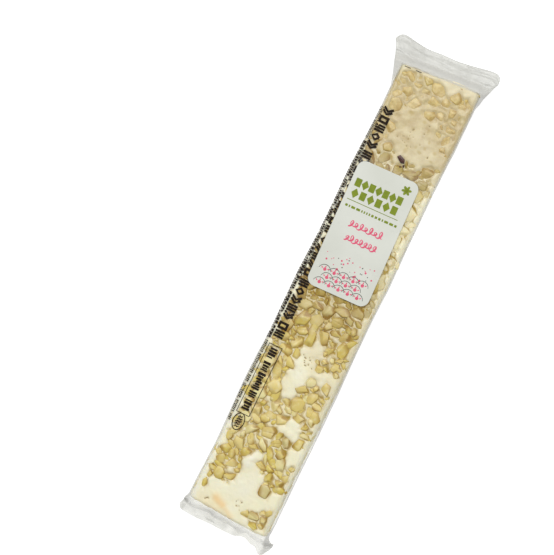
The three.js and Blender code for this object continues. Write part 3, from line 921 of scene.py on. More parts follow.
def side_reach(y):
    """How far the film stands off the bar's axis on the left and on the right at y."""
    along = (y + SLAB_HALF_LENGTH) / (2 * SLAB_HALF_LENGTH)

    def reach(side):
        length, phase = SIDE_RIPPLE[side]
        return lerp(*SIDE_REACH[side], along) + SIDE_RIPPLE["height"] * np.sin(y / length + phase)
    swell, start, full = LEFT_SWELL
    return (reach("left") + swell * smoothstep(y, start, full),
            reach("right") + humps(y, RIGHT_SWELLS))


def film_body(girth, y, film_top):
    """Top and underside of the film round the straight part of the slab."""
    left, right = side_reach(y)
    x, lift = film_outline(girth, left, right, CORNER_ROUNDNESS)
    top = lerp(SIDE_LEVEL, sample_field(film_top, x, y), lift)
    return x, y + 0 * x, top, lerp(SIDE_LEVEL, 0, lift), lift, 0 * x, 0 * x


def fin_edge(end, x):
    """How far out a fin's wavy edge lies at x. The head's rises to its right corner, and
    the foot's has an ear and a notch."""
    reach = np.where(x < 0, end["left_reach"], end["right_reach"])
    return (end["fin_edge"] + end["corner_rise"] * smoothstep(x, 0, end["right_reach"])
            + humps(x, end["edge"]) - FIN_CORNER_DROP * np.abs(x / reach) ** FIN_CORNER_POWER)


def fin_creases(end, x, along):
    """Thin pressed lines in a fin, nearly parallel to its edge: 1 on a line."""
    random = np.random.default_rng(87 + end["side"])
    inward = fin_edge(end, x) - along
    lines = 0
    for _ in range(end["creases"]):
        middle_x, half = random.uniform(-20, 20), random.uniform(2.0, 6.0)
        deep = random.uniform(0.6, end["fin_edge"] - SLAB_HALF_LENGTH - 0.6)
        slope, width = random.uniform(-0.12, 0.12), random.uniform(0.18, 0.32)
        away = (inward - deep - slope * (x - middle_x)) / width
        lines = lines + np.exp(-away ** 2) * hump(x - middle_x, half) * random.uniform(0.4, 1)
    return lines


def fin_relief(end, x, along):
    """Wrinkles of a fin: fine ridges beside its edge, crumples, and folds that run out of
    the slab's corners."""
    inward = fin_edge(end, x) - along
    ridges = (0.5 * value_noise(inward / 1.0 + 20, x / 12 + 5, 61)
              + 0.4 * value_noise(inward / 0.5 + 20 + x / 30, x / 6 + 9, 67))
    crumples = layered_noise(x / 2.6 + 30, along / 1.7 + 12, 69)
    folds = 0
    for corner_x, reach in ((-SLAB_HALF_WIDTH, -end["left_reach"]),
                            (SLAB_HALF_WIDTH, end["right_reach"])):
        way = np.array([reach - corner_x, end["fin_edge"] - SLAB_HALF_LENGTH])
        way = way / np.linalg.norm(way)
        beside = (x - corner_x) * way[1] - (along - SLAB_HALF_LENGTH) * way[0]
        folds = folds + humps(beside, CORNER_FOLDS)
    return lerp(ridges, crumples, end["crumpled"]) + 0.8 * folds


def fin_milk(end, x, along, past_slab, wing, creases):
    """How milky the film is from the slab's end on: thinner in places, whiter on creases."""
    milk = end["milk"] * np.maximum(smoothstep(past_slab, -0.7, 0.6), wing)
    milk = milk * (1 + end["thin_right"] * (0.3 - smoothstep(x, 0, 17)))
    milk = milk * (1 + end["crumpled"] * 0.7 * layered_noise(x / 3 + 8, along / 2.4 + 3, 89, 2))
    return np.minimum(milk + 0.25 * creases, 1)


def film_end(end, girth, t, film_top):
    """Top and underside of the film from the straight sides (t = 0) to a fin's edge, how
    far it is closed, how milky it is, and its wrinkles."""
    start_left, start_right = side_reach(end["side"] * end["end_from"])

    def spread(span):
        return min(max((t - span[0]) / (span[1] - span[0]), 0), 1)
    left = lerp(start_left, end["left_reach"], spread(end["left_spread"]))
    right = lerp(start_right, end["right_reach"], spread(end["right_spread"]))
    power = lerp(CORNER_ROUNDNESS, WING_ROUNDNESS, float(smoothstep(t, 0, 0.6)))
    x, lift = film_outline(girth, left, right, power)
    along = lerp(end["end_from"], fin_edge(end, x), t)
    past_slab = along - SLAB_HALF_LENGTH - end["end_skew"] * x + EARLY_CLOSE
    length = end["close_length"] * (1 + end["uneven"] * layered_noise(x / 4.5 + 40, 3.5, 79, 2))
    closing = smoothstep(past_slab, 0, length)
    fold = (end["wave"] * np.sin(end["wave_turns"] * x + WAVE_PHASE)
            + end["crease"] * np.sin(CREASE_TURNS["across"] * x + CREASE_TURNS["along"] * along))
    middle = lerp(SIDE_LEVEL, end["fin_level"] + fold, closing)
    thin = FIN_HALF_THICKNESS * lift
    top = sample_field(film_top, x, end["side"] * along)
    high = lerp(lerp(SIDE_LEVEL, top, lift), middle + thin, closing)
    low = lerp(lerp(SIDE_LEVEL, 0, lift), middle - thin, closing)
    start = np.where(x < 0, start_left, start_right)
    wing = smoothstep(np.abs(x) - start, -1.2, 0.3) * smoothstep(t, 0.02, 0.3)
    sheet = np.maximum(closing, wing)
    creases = sheet * fin_creases(end, x, along)
    relief = end["relief"] * sheet * fin_relief(end, x, along) + 0.12 * creases
    milk = fin_milk(end, x, along, past_slab, wing, creases)
    return x, end["side"] * along, high, low, lift, milk, relief


def side_wrinkle(x, y, lift):
    """How far the film's long sides stand out of their smooth shape: soft pulls along
    them, and puckers across near the ends."""
    side = 1 - smoothstep(lift, 0.2, 0.98)
    puckers = value_noise(y / 2.4 + x / 3, lift * 1.5, 71) + 0.5 * value_noise(y / 1.1, lift * 2, 73)
    pulls = value_noise(y / 7 + x / 3, lift * 3, 71) + 0.3 * value_noise(y / 2.8, lift * 3, 73)
    near_end = smoothstep(np.abs(y + 2), 72, 88)
    ruffle = lerp(SIDE_WRINKLES["straight"] * pulls, SIDE_WRINKLES["ends"] * puckers, near_end)
    return side * smoothstep(lift, 0, 0.25) * ruffle


def film_wrap(film_top):
    """The closed film: its upper and under sheets meet along the widest line."""
    corner = np.linspace(0, CORNER_GIRTH, FILM_CORNER_COLUMNS + 1)[1:]
    flat = np.linspace(-FLAT_HALF_WIDTH, FLAT_HALF_WIDTH, FILM_FLAT_COLUMNS + 1)
    girth = np.concatenate([-FLAT_HALF_WIDTH - corner[::-1], flat, FLAT_HALF_WIDTH + corner])
    foot = np.linspace(1, 0, FILM_END_RINGS["foot"] + 1)[:-1]
    body = np.linspace(-FOOT["end_from"], HEAD["end_from"], FILM_BODY_RINGS)
    head = np.linspace(0, 1, FILM_END_RINGS["head"] + 1)[1:]
    rings = ([film_end(FOOT, girth, t, film_top) for t in foot]
             + [film_body(girth, y, film_top) for y in body]
             + [film_end(HEAD, girth, t, film_top) for t in head])
    x, y, top, low, lift, milk, relief = [np.array(values) for values in zip(*rings)]
    upper, under = np.stack([x, y, top], axis=-1), np.stack([x, y, low], axis=-1)
    out = grid_normals(upper)
    upper = upper + out * ((milk == 0) * side_wrinkle(x, y, lift) + relief)[..., None]
    under = under + out * relief[..., None]
    streaky = 1 + 0.6 * layered_noise(y / 9, lift * 4, 97, 2)
    cloudy = np.maximum(milk, SIDE_MILK * streaky * (1 - smoothstep(lift, 0.3, 1.0)))
    cloudy = np.concatenate([cloudy, cloudy[:, -2:0:-1]], axis=1)
    points = np.concatenate([upper, under[:, -2:0:-1]], axis=1)
    rows, around = points.shape[:2]
    faces = grid_faces(rows, around, closed=True).tolist()
    for start, turn in ((0, 1), ((rows - 1) * around, -1)):
        for k in range(len(girth) - 1):
            faces.append([start + k, start + k + 1, start + around - k - 1,
                          start + (around - k) % around][::turn])
    shell = Shell("milk")
    shell.add(points.reshape(-1, 3), [face[::-1] for face in faces], milk=cloudy.reshape(-1))
    return shell


# ---- printed shapes -------------------------------------------------------------------

QUARTERS = np.arange(5) * math.pi / 2       # a lozenge's four corners, and the first again
# The film's left border: spans across, and from the head end to the foot end.
FILM_FIGURES = {"row": (-14.35, -10.55, 71.3, -23.9), "seed": 5, "stroke": 0.92,
                "order": ("chevron", "frame", "bars", "lozenge", "chevron", "bars"),
                "lengths": {"chevron": 2.7, "frame": 2.8, "bars": 2.7, "lozenge": 3.1}}
FILM_BOX = {"span": (-14.3, -8.9, -25.0, -52.9), "line": 0.24}
FILM_OVAL = {"at": (-11.8, -56.0), "half": (2.1, 3.2), "line": 0.32}
FILM_HEAD_LINE = {"from": -14.2, "to": -5.1, "y": 88.6, "width": 0.22}
# Rows of upright bars: span across, from and to along, lengths of the groups, the gap
# between groups, widths of the bars, spaces between them, and seed. First the box's own.
FILM_BARS = [
    (-13.1, -10.1, -26.2, -51.7, (5, 4, 7, 3), 0.5, (0.55, 0.75, 1.0), (0.22, 0.3), 6),
    (-15.15, -14.5, 70.9, 0.0, (5, 8, 3), 0.3, (0.3, 0.45), (0.15, 0.2), 10),
    (-17.9, -15.3, 56.9, -24.0, (6, 9, 4, 7), 0.4, (0.55, 0.8, 1.1), (0.2, 0.32), 8),
    (-17.2, -15.9, 70.9, 57.3, (5, 8, 3, 6), 0.5, (0.3, 0.45), (0.22, 0.3), 11),
    (-20.1, -18.1, 70.9, -24.0, (5, 8, 4, 7), 0.5, (0.45, 0.7), (0.28, 0.4), 7),
    (-18.9, -17.3, -24.6, -56.9, (5, 8, 3, 6), 0.6, (0.3, 0.45), (0.22, 0.3), 12),
    (-17.1, -15.5, -24.6, -56.9, (5, 8, 3, 6), 0.6, (0.3, 0.45), (0.22, 0.3), 13),
]
# The label's own layout: each row's span across, its lower and its upper edge and the
# count of its figures. A row of loops has its middle in place of its edges.
LOZENGE_ROWS = [(-10.6, 8.6, 14.7, 18.1, 7), (-10.4, 8.4, 10.6, 14.0, 6)]
LABEL_RULE = (-10.7, 9.5, 9.4, 9.65)
LABEL_DASHES = (-10.4, 9.8, 6.8, 7.7)
LABEL_LOOPS = {"rows": [(-7.2, 7.0, 1.4), (-6.6, 6.9, -3.9)], "count": 7}
ROSETTE = {"at": (8.1, 20.8), "petals": 6, "from": 15, "reach": 1.05, "petal": (0.85, 0.5),
           "eye": 0.45}
DASHES = {"widths": (0.5, 0.9, 1.5), "space": 0.5}
LIFT = {"film": 0.05, "label": 0.018, "label_dark": 0.014}  # of the ink off what it is on
PINK_DOTS = {"count": 22, "half_width": 9.8, "from": -16.4, "height": 6.4, "size": (0.22, 0.5)}
DARK_DOTS = {"count": 10, "half_width": 9, "rows": (-15.5, -11.0), "size": (0.13, 0.24)}
SCALLOPS = {"rows": (-23.2, -20.7, -18.2), "size": 2.1, "count": 5, "half_width": 9.4}


class FilmSurface:
    """The film's outside, for shapes printed on it: girth across, y along."""

    def __init__(self, film_top):
        self.film_top = film_top

    def at(self, girth, y, lift):
        def point(g, v):
            x, v, top, _, sheet_lift, *_ = film_body(g, v, self.film_top)
            return np.stack([x, v, top], axis=-1), sheet_lift
        step = 0.15
        here, sheet_lift = point(girth, y)
        across = point(girth + step, y)[0] - point(girth - step, y)[0]
        along = point(girth, y + step)[0] - point(girth, y - step)[0]
        normal = np.cross(across, along)
        normal = normal / np.linalg.norm(normal, axis=-1, keepdims=True)
        return here + (lift + side_wrinkle(here[..., 0], y, sheet_lift))[..., None] * normal


class LabelSurface:
    """The label's face: a across it and b towards the head end, from its middle."""

    def at(self, a, b, lift):
        x, y = turned(a, b, math.radians(LABEL["turn"]))
        return np.stack([LABEL["x"] + x, LABEL["y"] + y,
                         label_height(a, b) + LABEL_THICKNESS + lift], axis=-1)


def label_height(a, b):
    """Underside of the paper: it follows the uneven bar a little."""
    return LABEL_LEVEL + 0.05 * layered_noise((a + 30) / 9, (b + 40) / 9, 83, 2)


class Ink:
    """Flat shapes of one ink, laid a hair above a surface."""

    def __init__(self, surface, lift, step=0.6):
        self.surface, self.lift, self.step = surface, lift, step
        self.shell = Shell("wear")
        self.random = np.random.default_rng(91)

    def grid(self, a, b, climb=0.0):
        """Adds a grid of points given by their places a and b on the surface. A stroke
        that climbs a little lies on itself where it crosses."""
        self.shell.add(self.surface.at(a, b, self.lift + climb), grid_faces(*a.shape),
                       wear=self.random.uniform())

    def block(self, a0, a1, b0, b1):
        """A rectangle from a0 to a1 across and from b0 to b1 along."""
        across, along = (np.linspace(start, stop, max(2, int(abs(stop - start) / self.step) + 2))
                         for start, stop in ((a0, a1), (b0, b1)))
        b, a = np.meshgrid(along, across, indexing="ij")
        self.grid(a, b)

    def ribbon(self, a, b, width):
        """A stroke along the points a, b. Its width is one value, or one for each point."""
        a, b = np.asarray(a, float), np.asarray(b, float)
        da, db = np.gradient(a), np.gradient(b)
        beside = (width / np.hypot(da, db))[:, None] * np.array([-0.5, 0, 0.5])
        climb = 0.01 * np.linspace(0, 1, len(a))[:, None]
        self.grid(a[:, None] + db[:, None] * beside, b[:, None] - da[:, None] * beside, climb)

    def disc(self, a, b, half_a, half_b, turn=0.0, point=0.0, around=18):
        """A filled oval. point above 0 draws its end along +a out to a tip."""
        angle = np.linspace(0, FULL_TURN, around + 1)
        ring = np.array([0.001, 0.5, 1.0])[:, None]
        da, db = turned(ring * half_a * np.cos(angle), ring * half_b * np.sin(angle)
                        * (1 - point * smoothstep(np.cos(angle), -0.6, 1)), turn)
        self.grid((a + da)[::-1], (b + db)[::-1])


def bar_groups(ink, a0, a1, b_from, b_to, groups, gap, widths, spaces, seed):
    """A running row of upright bars in groups: a plain border, not lettering."""
    random = np.random.default_rng(seed)
    b = b_from
    turn = 0
    while b > b_to:
        end = max(b - groups[turn % len(groups)], b_to)
        while b > end:
            width = random.choice(widths)
            if b - width < end:
                break
            trim = random.choice([0.0, 0.0, 0.12, 0.25]) * (a1 - a0)
            ink.block(a0 + trim * random.uniform(), a1 - trim * random.uniform(), b - width, b)
            b -= width + random.choice(spaces)
        b = end - gap
        turn += 1


def hollow_box(ink, a0, a1, b0, b1, line):
    """A rectangle drawn with four lines."""
    for a in (a0, a1 - line):
        ink.block(a, a + line, b0, b1)
    for b in (b1 - line, b0):
        ink.block(a0, a1, b, b + line)


def ornament_row(ink):
    """A bold border of simple figures: chevrons, frames, lozenges and bars in turn."""
    random = np.random.default_rng(FILM_FIGURES["seed"])
    a0, a1, b, b_to = FILM_FIGURES["row"]
    middle, half, stroke = (a0 + a1) / 2, (a1 - a0) / 2, FILM_FIGURES["stroke"]
    turn = 0
    while b - 2.7 > b_to:
        figure = FILM_FIGURES["order"][turn % len(FILM_FIGURES["order"])]
        length = FILM_FIGURES["lengths"][figure]
        if figure == "chevron":
            for shift in (0.0, 1.15):
                ink.ribbon([a0, middle, a1], b - np.array([0, 1.3, 0]) - shift, stroke)
        elif figure == "frame":
            for low, high in ((a0, a0 + stroke), (a1 - stroke, a1)):
                ink.block(low, high, b - length, b)
            for high in (b, b - length + stroke):
                ink.block(a0 + stroke, a1 - stroke, high - stroke, high)
        elif figure == "bars":
            for shift in (0.0, 1.0, 2.0):
                ink.block(a0, a1, b - shift - 0.78, b - shift)
        else:
            ink.ribbon(middle + (half - stroke / 2) * np.cos(QUARTERS),
                       b - length / 2 + (length - stroke) / 2 * np.sin(QUARTERS), stroke)
        b -= length + 0.5 + (0.8 if turn % 5 == 4 else 0) + 0.1 * random.uniform()
        turn += 1


def film_print(surface):
    """The film's left border: figures, a box and an oval, and rows of small bars."""
    ink = Ink(surface, LIFT["film"])
    ornament_row(ink)
    left, right, start, stop = FILM_BOX["span"]
    hollow_box(ink, left, right, stop, start, FILM_BOX["line"])
    bar_groups(ink, *FILM_BARS[0])
    (a, b), (half_a, half_b) = FILM_OVAL["at"], FILM_OVAL["half"]
    angle = np.linspace(0, FULL_TURN, 48)
    ink.ribbon(a + half_a * np.cos(angle), b + half_b * np.sin(angle), FILM_OVAL["line"])
    for k in range(-2, 3):
        slant = np.array([-1, -0.3, 0.3, 1]) * (1.25 - 0.2 * abs(k))
        ink.ribbon(a + slant, b + 0.95 * k + 0.35 * np.array([-1, 0.6, -0.6, 1]),
                   np.array([0.3, 0.5, 0.5, 0.3]))
    for row in FILM_BARS[1:]:
        bar_groups(ink, *row)
    return ink.shell


def head_line(film_top):
    """The thin broken line printed on the film across the slab's head end."""
    random = np.random.default_rng(9)
    shell = Shell("wear")
    x, right = FILM_HEAD_LINE["from"], FILM_HEAD_LINE["to"]
    while x < right:
        length = random.uniform(0.8, 2.6)
        a, across = np.meshgrid(np.linspace(x, min(x + length, right), 5),
                                [0, FILM_HEAD_LINE["width"]], indexing="ij")
        v = FILM_HEAD_LINE["y"] + HEAD["end_skew"] * a + across
        shell.add(np.stack([a, v, sample_field(film_top, a, v) + LIFT["film"]], axis=-1),
                  grid_faces(*a.shape)[:, ::-1], wear=random.uniform())
        x += length + random.uniform(0.9, 2.8)
    return shell


def label_green(surface):
    """Two rows of lozenges and squares, a rule, a row of dashes and a rosette."""
    ink = Ink(surface, LIFT["label"])
    for row, (left, right, low, high, count) in enumerate(LOZENGE_ROWS):
        ring = 0.98 * (high - low) / 2 * np.array([0, 0.5, 1])[:, None]
        for k in range(count):
            middle = left + (k + 0.5) * (right - left) / count
            lozenge = (k + row) % 2
            angle = QUARTERS if lozenge else QUARTERS + math.pi / 4
            size = 1.16 if lozenge else 1.32
            ink.grid((middle + ring * size * 0.74 * np.cos(angle))[::-1],
                     ((low + high) / 2 + ring * size * np.sin(angle))[::-1])
    ink.block(*LABEL_RULE)
    random = np.random.default_rng(12)
    a, right, low, high = LABEL_DASHES
    while a < right - DASHES["space"]:
        width = random.choice(DASHES["widths"])
        ink.block(a, a + width, low, high)
        a += width + DASHES["space"]
    a, b = ROSETTE["at"]
    for petal in range(ROSETTE["petals"]):
        turn = math.radians(ROSETTE["from"]) + petal * FULL_TURN / ROSETTE["petals"]
        da, db = turned(ROSETTE["reach"], 0, turn)
        ink.disc(a + da, b + db, *ROSETTE["petal"], turn)
    ink.disc(a, b, ROSETTE["eye"], ROSETTE["eye"])
    return ink.shell


def label_pink(surface):
    """Two looping brush strokes, and the dots and drops of the border at the label's foot."""
    ink = Ink(surface, LIFT["label"], step=0.4)
    t = np.linspace(0, 1, 260)
    phase = FULL_TURN * LABEL_LOOPS["count"] * t
    for left, right, b in LABEL_LOOPS["rows"]:
        height = 1.25 * (0.8 + 0.35 * np.sin(t * 21 + b))
        ink.ribbon(lerp(left + 0.9, right, t) + 0.85 * np.sin(phase),
                   b - height * np.cos(phase) + 0.35 * height,
                   0.3 + 0.42 * np.maximum(np.sin(phase + 0.3), 0))
    size = SCALLOPS["size"]
    for a, b in scallop_middles():
        ink.disc(a, b + 0.30 * size, 0.30 * size, 0.30 * size)
        for angle in (40, 90, 140):
            turn = math.radians(angle)
            da, db = turned(0.78 * size, 0, turn)
            ink.disc(a + da, b + db, 0.20 * size, 0.12 * size, turn, point=0.6)
    random = np.random.default_rng(14)
    for _ in range(PINK_DOTS["count"]):
        height = random.uniform() ** 1.6
        size = random.uniform(*PINK_DOTS["size"]) * (1 - 0.4 * height)
        a = random.uniform(-PINK_DOTS["half_width"], PINK_DOTS["half_width"])
        ink.disc(a, PINK_DOTS["from"] + PINK_DOTS["height"] * height, size, size)
    return ink.shell


def scallop_middles():
    """Middles of the scallops in the border. Every other row is set in and one shorter."""
    count, half_width = SCALLOPS["count"], SCALLOPS["half_width"]
    return [(-half_width + (k + 0.5 + 0.5 * (row % 2)) * 2 * half_width / count, b)
            for row, b in enumerate(SCALLOPS["rows"]) for k in range(count - row % 2)]


def label_dark(surface):
    """The scallops' thin arcs, and small dots above them."""
    ink = Ink(surface, LIFT["label_dark"])
    angle = np.radians(np.linspace(12, 168, 22))
    radius = 1.12 * SCALLOPS["size"]
    for a, b in scallop_middles():
        ink.ribbon(a + radius * np.cos(angle), b + radius * np.sin(angle),
                   0.13 + 0.1 * np.sin(angle))
    random = np.random.default_rng(15)
    for _ in range(DARK_DOTS["count"]):
        size = random.uniform(*DARK_DOTS["size"])
        a = random.uniform(-DARK_DOTS["half_width"], DARK_DOTS["half_width"])
        ink.disc(a, random.uniform(*DARK_DOTS["rows"]), size, size)
    return ink.shell


# ---- label ----------------------------------------------------------------------------

def label_paper():
    """A thin rounded rectangle of paper, in rows from its foot to its head edge. Its two
    faces and its edge have points of their own, so that the edge stays crisp."""
    half_length, corner = LABEL["length"] / 2, LABEL["corner"]
    edge = -half_length + corner * (1 - np.cos(np.linspace(0, math.pi / 2, 9)))
    rows = np.concatenate([edge, np.linspace(edge[-1], -edge[-1], 60)[1:-1], -edge[::-1]])
    into = np.clip(np.abs(rows) - (half_length - corner), 0, corner)
    half_width = LABEL["width"] / 2 - corner + np.sqrt(np.maximum(corner ** 2 - into ** 2, 0))
    a = half_width[:, None] * np.linspace(-1, 1, 33)
    b = rows[:, None] + 0 * a
    top, under = (LabelSurface().at(a, b, lift) for lift in (0, -LABEL_THICKNESS))
    faces = grid_faces(*a.shape)
    shell = Shell()
    shell.add(top, faces)
    shell.add(under, faces[:, ::-1])
    outline = [np.concatenate([face[0], face[:, -1], face[-1, ::-1], face[::-1, 0]])
               for face in (under, top)]
    shell.add(np.stack(outline), grid_faces(2, len(outline[0]), closed=True))
    return shell


# ---- materials ------------------------------------------------------------------------

SOFT = {"Subsurface Scale": 0.0008}     # how far light goes into cream and almond
INKS = {    # lighter and darker
    "pore_shadow": ((184, 164, 120), (140, 120, 78)), "film_ink": ((44, 30, 14), (20, 12, 5)),
    "green_ink": ((136, 151, 48), (116, 133, 38)), "pink_ink": ((234, 108, 136), (220, 88, 116)),
    "grey_ink": ((96, 90, 86), (70, 64, 62)),
}


def srgb(red, green, blue):
    """A colour given in 0..255 as shown on a screen, as linear red, green, blue and 1."""
    def linear(value):
        value = value / 255
        return value / 12.92 if value <= 0.04045 else ((value + 0.055) / 1.055) ** 2.4
    return (linear(red), linear(green), linear(blue), 1.0)


class Nodes:
    """A material's node tree, with short ways to add to it."""

    def __init__(self, name):
        self.material = bpy.data.materials.new(name)
        self.material.use_nodes = True
        self.tree = self.material.node_tree
        self.tree.nodes.clear()

    def feed(self, socket, value):
        """Gives an input a value, or links it to another node's output."""
        if isinstance(value, bpy.types.NodeSocket):
            self.tree.links.new(value, socket)
        else:
            socket.default_value = value

    def add(self, kind, inputs=None, **settings):
        """A new node with its inputs fed and its settings set."""
        made = self.tree.nodes.new(kind)
        for name, value in settings.items():
            setattr(made, name, value)
        for name, value in (inputs or {}).items():
            self.feed(made.inputs[name], value)
        return made

    def attribute(self, name):
        return self.add("ShaderNodeAttribute", attribute_name=name).outputs["Fac"]

    def noise(self, scale, detail=3.0, stretch=None):
        """Noise with features of about 1/scale metres."""
        place = self.add("ShaderNodeTexCoord").outputs["Object"]
        if stretch:
            mapping = self.add("ShaderNodeMapping", {"Vector": place, "Scale": stretch})
            place = mapping.outputs["Vector"]
        return self.add("ShaderNodeTexNoise", {"Vector": place, "Scale": scale,
                                               "Detail": detail}).outputs["Fac"]

    def ramp(self, value, *stops):
        """A colour ramp through (place, colour) stops."""
        made = self.add("ShaderNodeValToRGB", {"Fac": value})
        elements = made.color_ramp.elements
        for k, (place, colour) in enumerate(stops):
            element = elements[k] if k < 2 else elements.new(place)
            element.position = place
            element.color = srgb(*colour)
        return made.outputs["Color"]

    def mix(self, factor, first, second, blend="MIX"):
        """From first to second, each another node's colour or one given in 0..255."""
        made = self.add("ShaderNodeMix", data_type="RGBA", blend_type=blend)
        self.feed(made.inputs[0], factor)
        for place, colour in ((6, first), (7, second)):
            given = isinstance(colour, tuple)
            self.feed(made.inputs[place], srgb(*colour) if given else colour)
        return made.outputs[2]

    def maths(self, operation, first, second, clamp=False):
        made = self.add("ShaderNodeMath", {0: first, 1: second}, operation=operation)
        made.use_clamp = clamp
        return made.outputs[0]

    def times(self, first, second, clamp=False):
        return self.maths("MULTIPLY", first, second, clamp)

    def bump(self, height, strength, distance=0.0002):
        return self.add("ShaderNodeBump", {"Height": height, "Strength": strength,
                                           "Distance": distance}).outputs["Normal"]

    def surface(self, colour, roughness, more):
        """The finished material, a plain surface with more of its inputs given by name."""
        inputs = {"Base Color": colour, "Roughness": roughness, **more}
        return self.finish(self.add("ShaderNodeBsdfPrincipled", inputs).outputs["BSDF"])

    def finish(self, shader):
        self.add("ShaderNodeOutputMaterial", {"Surface": shader})
        return self.material


def nougat_material():
    """Soft cream: faintly cloudy, peach where it was toasted, whiter along the left edge as painted
    light, and tan in the crevices as painted shade.
    """
    n = Nodes("nougat_cream")
    colour = n.ramp(n.noise(150, 4), (0.3, (251, 243, 210)), (0.7, (254, 249, 224)))
    tint = n.attribute("tint")
    peach = n.ramp(n.noise(330, 4), (0.32, (194, 172, 122)), (0.66, (214, 198, 152)))
    colour = n.mix(n.times(tint, 1.0, clamp=True), colour, peach)
    colour = n.mix(n.attribute("orange"), colour, (251, 219, 163))
    # Whiter where tint is below 0: pale streaks and lumps, and painted light along the left edge.
    colour = n.mix(n.times(tint, -1.0, clamp=True), colour, (252, 248, 232))
    # The crevice value is mostly painted shade, mixed in as a tan.
    crevice = n.times(n.attribute("crevice"), n.noise(300, 2))
    colour = n.mix(n.times(crevice, 1.7, clamp=True), colour, (178, 148, 36))
    return n.surface(colour, 0.5, {
        "Subsurface Weight": 0.25, "Subsurface Radius": (1.0, 0.85, 0.6), **SOFT,
        "Normal": n.bump(n.noise(900, 4), 0.35)})


def almond_material():
    """Blanched almond: each piece has its own tone, and its cut walls are painted darker brown,
    brown skin mixed with painted shade.
    """
    n = Nodes("chopped_almond")
    colour = n.ramp(n.attribute("tone"), (0.0, (210, 182, 88)), (0.18, (225, 204, 88)),
                    (0.45, (225, 203, 112)), (0.7, (234, 212, 132)),
                    (0.88, (242, 231, 168)), (1.0, (204, 189, 128)))
    streak = n.noise(500, 3, stretch=(1, 0.25, 1))
    colour = n.mix(n.times(streak, 0.25), colour, (208, 186, 104))
    smear = n.ramp(n.noise(420, 2), (0.48, (0, 0, 0)), (0.66, (169.622,) * 3))
    smear = n.maths("ADD", n.attribute("veil"), smear, clamp=True)
    colour = n.mix(smear, colour, (242, 232, 190))
    toast = n.ramp(n.noise(650, 3), (0.36, (184, 152, 82)), (0.62, (214, 189, 126)))
    colour = n.mix(n.times(n.attribute("warm"), 0.72, clamp=True), colour, toast)
    # The rim value is brown skin mixed with painted shade: down the flanks, on the lee side, over
    # one side of each piece, near the label and under the border.
    colour = n.mix(n.times(n.attribute("rim"), 0.9, clamp=True), colour, (170, 130, 26))
    # Painted shade: the colour is multiplied darker just off both ends of the label.
    colour = n.mix(n.attribute("dim"), colour, (223.2794, 223.2794, 200.3731), "MULTIPLY")
    return n.surface(colour, 0.5, {
        "Subsurface Weight": 0.15, "Subsurface Radius": (1.0, 0.75, 0.4), **SOFT,
        "Normal": n.bump(streak, 0.3)})


def speck_material():
    """An almond scrap burnt in the roast: near black, with a red-brown gleam."""
    n = Nodes("burnt_speck")
    colour = n.ramp(n.noise(1200, 3), (0.35, (52, 10, 0)), (0.7, (84, 28, 6)))
    return n.surface(colour, 0.6, {"Specular IOR Level": 0.12,
                                   "Normal": n.bump(n.noise(2500, 2), 0.5)})


def film_material():
    """Clear glossy film. It turns milky on the sides, and more so at the sealed fins. Where the
    milky sheet is seen edge-on its colour is painted darker grey, painted shade on its slanted
    walls.
    """
    n = Nodes("clear_film")
    facing = n.add("ShaderNodeLayerWeight", {"Blend": 0.5}).outputs["Facing"]
    gloss = n.maths("ADD", n.times(n.maths("POWER", facing, 4.0), 0.8), 0.03, clamp=True)
    milk = n.attribute("milk")
    drawn_in = n.times(milk, 2.2, clamp=True)
    slant = n.times(n.maths("POWER", facing, 2.5), n.times(drawn_in, 0.85))
    haze = n.maths("ADD", milk, n.times(n.noise(260, 3, stretch=(1, 0.35, 1)), 0.03))
    haze = n.maths("ADD", haze, slant, clamp=True)
    # Painted shade: the milk's colour goes darker grey where the sheet is seen edge-on.
    cloudy = n.mix(n.maths("POWER", facing, 2.0), (219, 219, 214), (188, 186, 178))
    milky = n.add("ShaderNodeBsdfDiffuse", {"Color": cloudy, "Roughness": 0.3})
    clear = n.add("ShaderNodeBsdfTransparent", {"Color": srgb(254, 254, 252)})
    sheet = n.add("ShaderNodeMixShader", {0: haze, 1: clear.outputs[0], 2: milky.outputs[0]})
    shine = n.add("ShaderNodeBsdfGlossy", {"Roughness": 0.28,
                                           "Normal": n.bump(n.noise(700, 2), 0.12)})
    whole = n.add("ShaderNodeMixShader", {0: gloss, 1: sheet.outputs[0],
                                          2: shine.outputs[0]})
    return n.finish(whole.outputs[0])


def paper_material():
    """Matt white paper with a fine grain."""
    n = Nodes("label_paper")
    colour = n.ramp(n.noise(60, 2), (0.35, (213, 215, 204)), (0.65, (220, 222, 212)))
    return n.surface(colour, 0.48, {"Normal": n.bump(n.noise(2600, 3), 0.12, 0.0001)})


def ink_material(name):
    """Printing ink, and the flat painted shadow at the bottoms of the pores: a little uneven from
    shape to shape and within each.
    """
    n = Nodes(name)
    light, dark = INKS[name]
    colour = n.ramp(n.noise(900, 3), (0.3, dark), (0.7, light))
    colour = n.mix(n.times(n.attribute("wear"), 0.3), colour, light)
    return n.surface(colour, 0.6, {"Specular IOR Level": 0.15})


# ---- stage, light and camera ----------------------------------------------------------

FLOOR = {"reach": 3.0, "level": -0.0002, "greys": ((148.877,) * 3, (153.317,) * 3),
         "glow": 0.85}
SKY = 0.385
LAMP = {"at": (-0.2, 0.55, 1.2), "size": 0.9, "energy": 12.6}
CAMERA = {"azimuth": 100.66, "elevation": 88.585, "turn": 26.06, "distance": 1.0,
          "lens": 175.86, "target": (-0.02142, -0.00408, 0.006)}


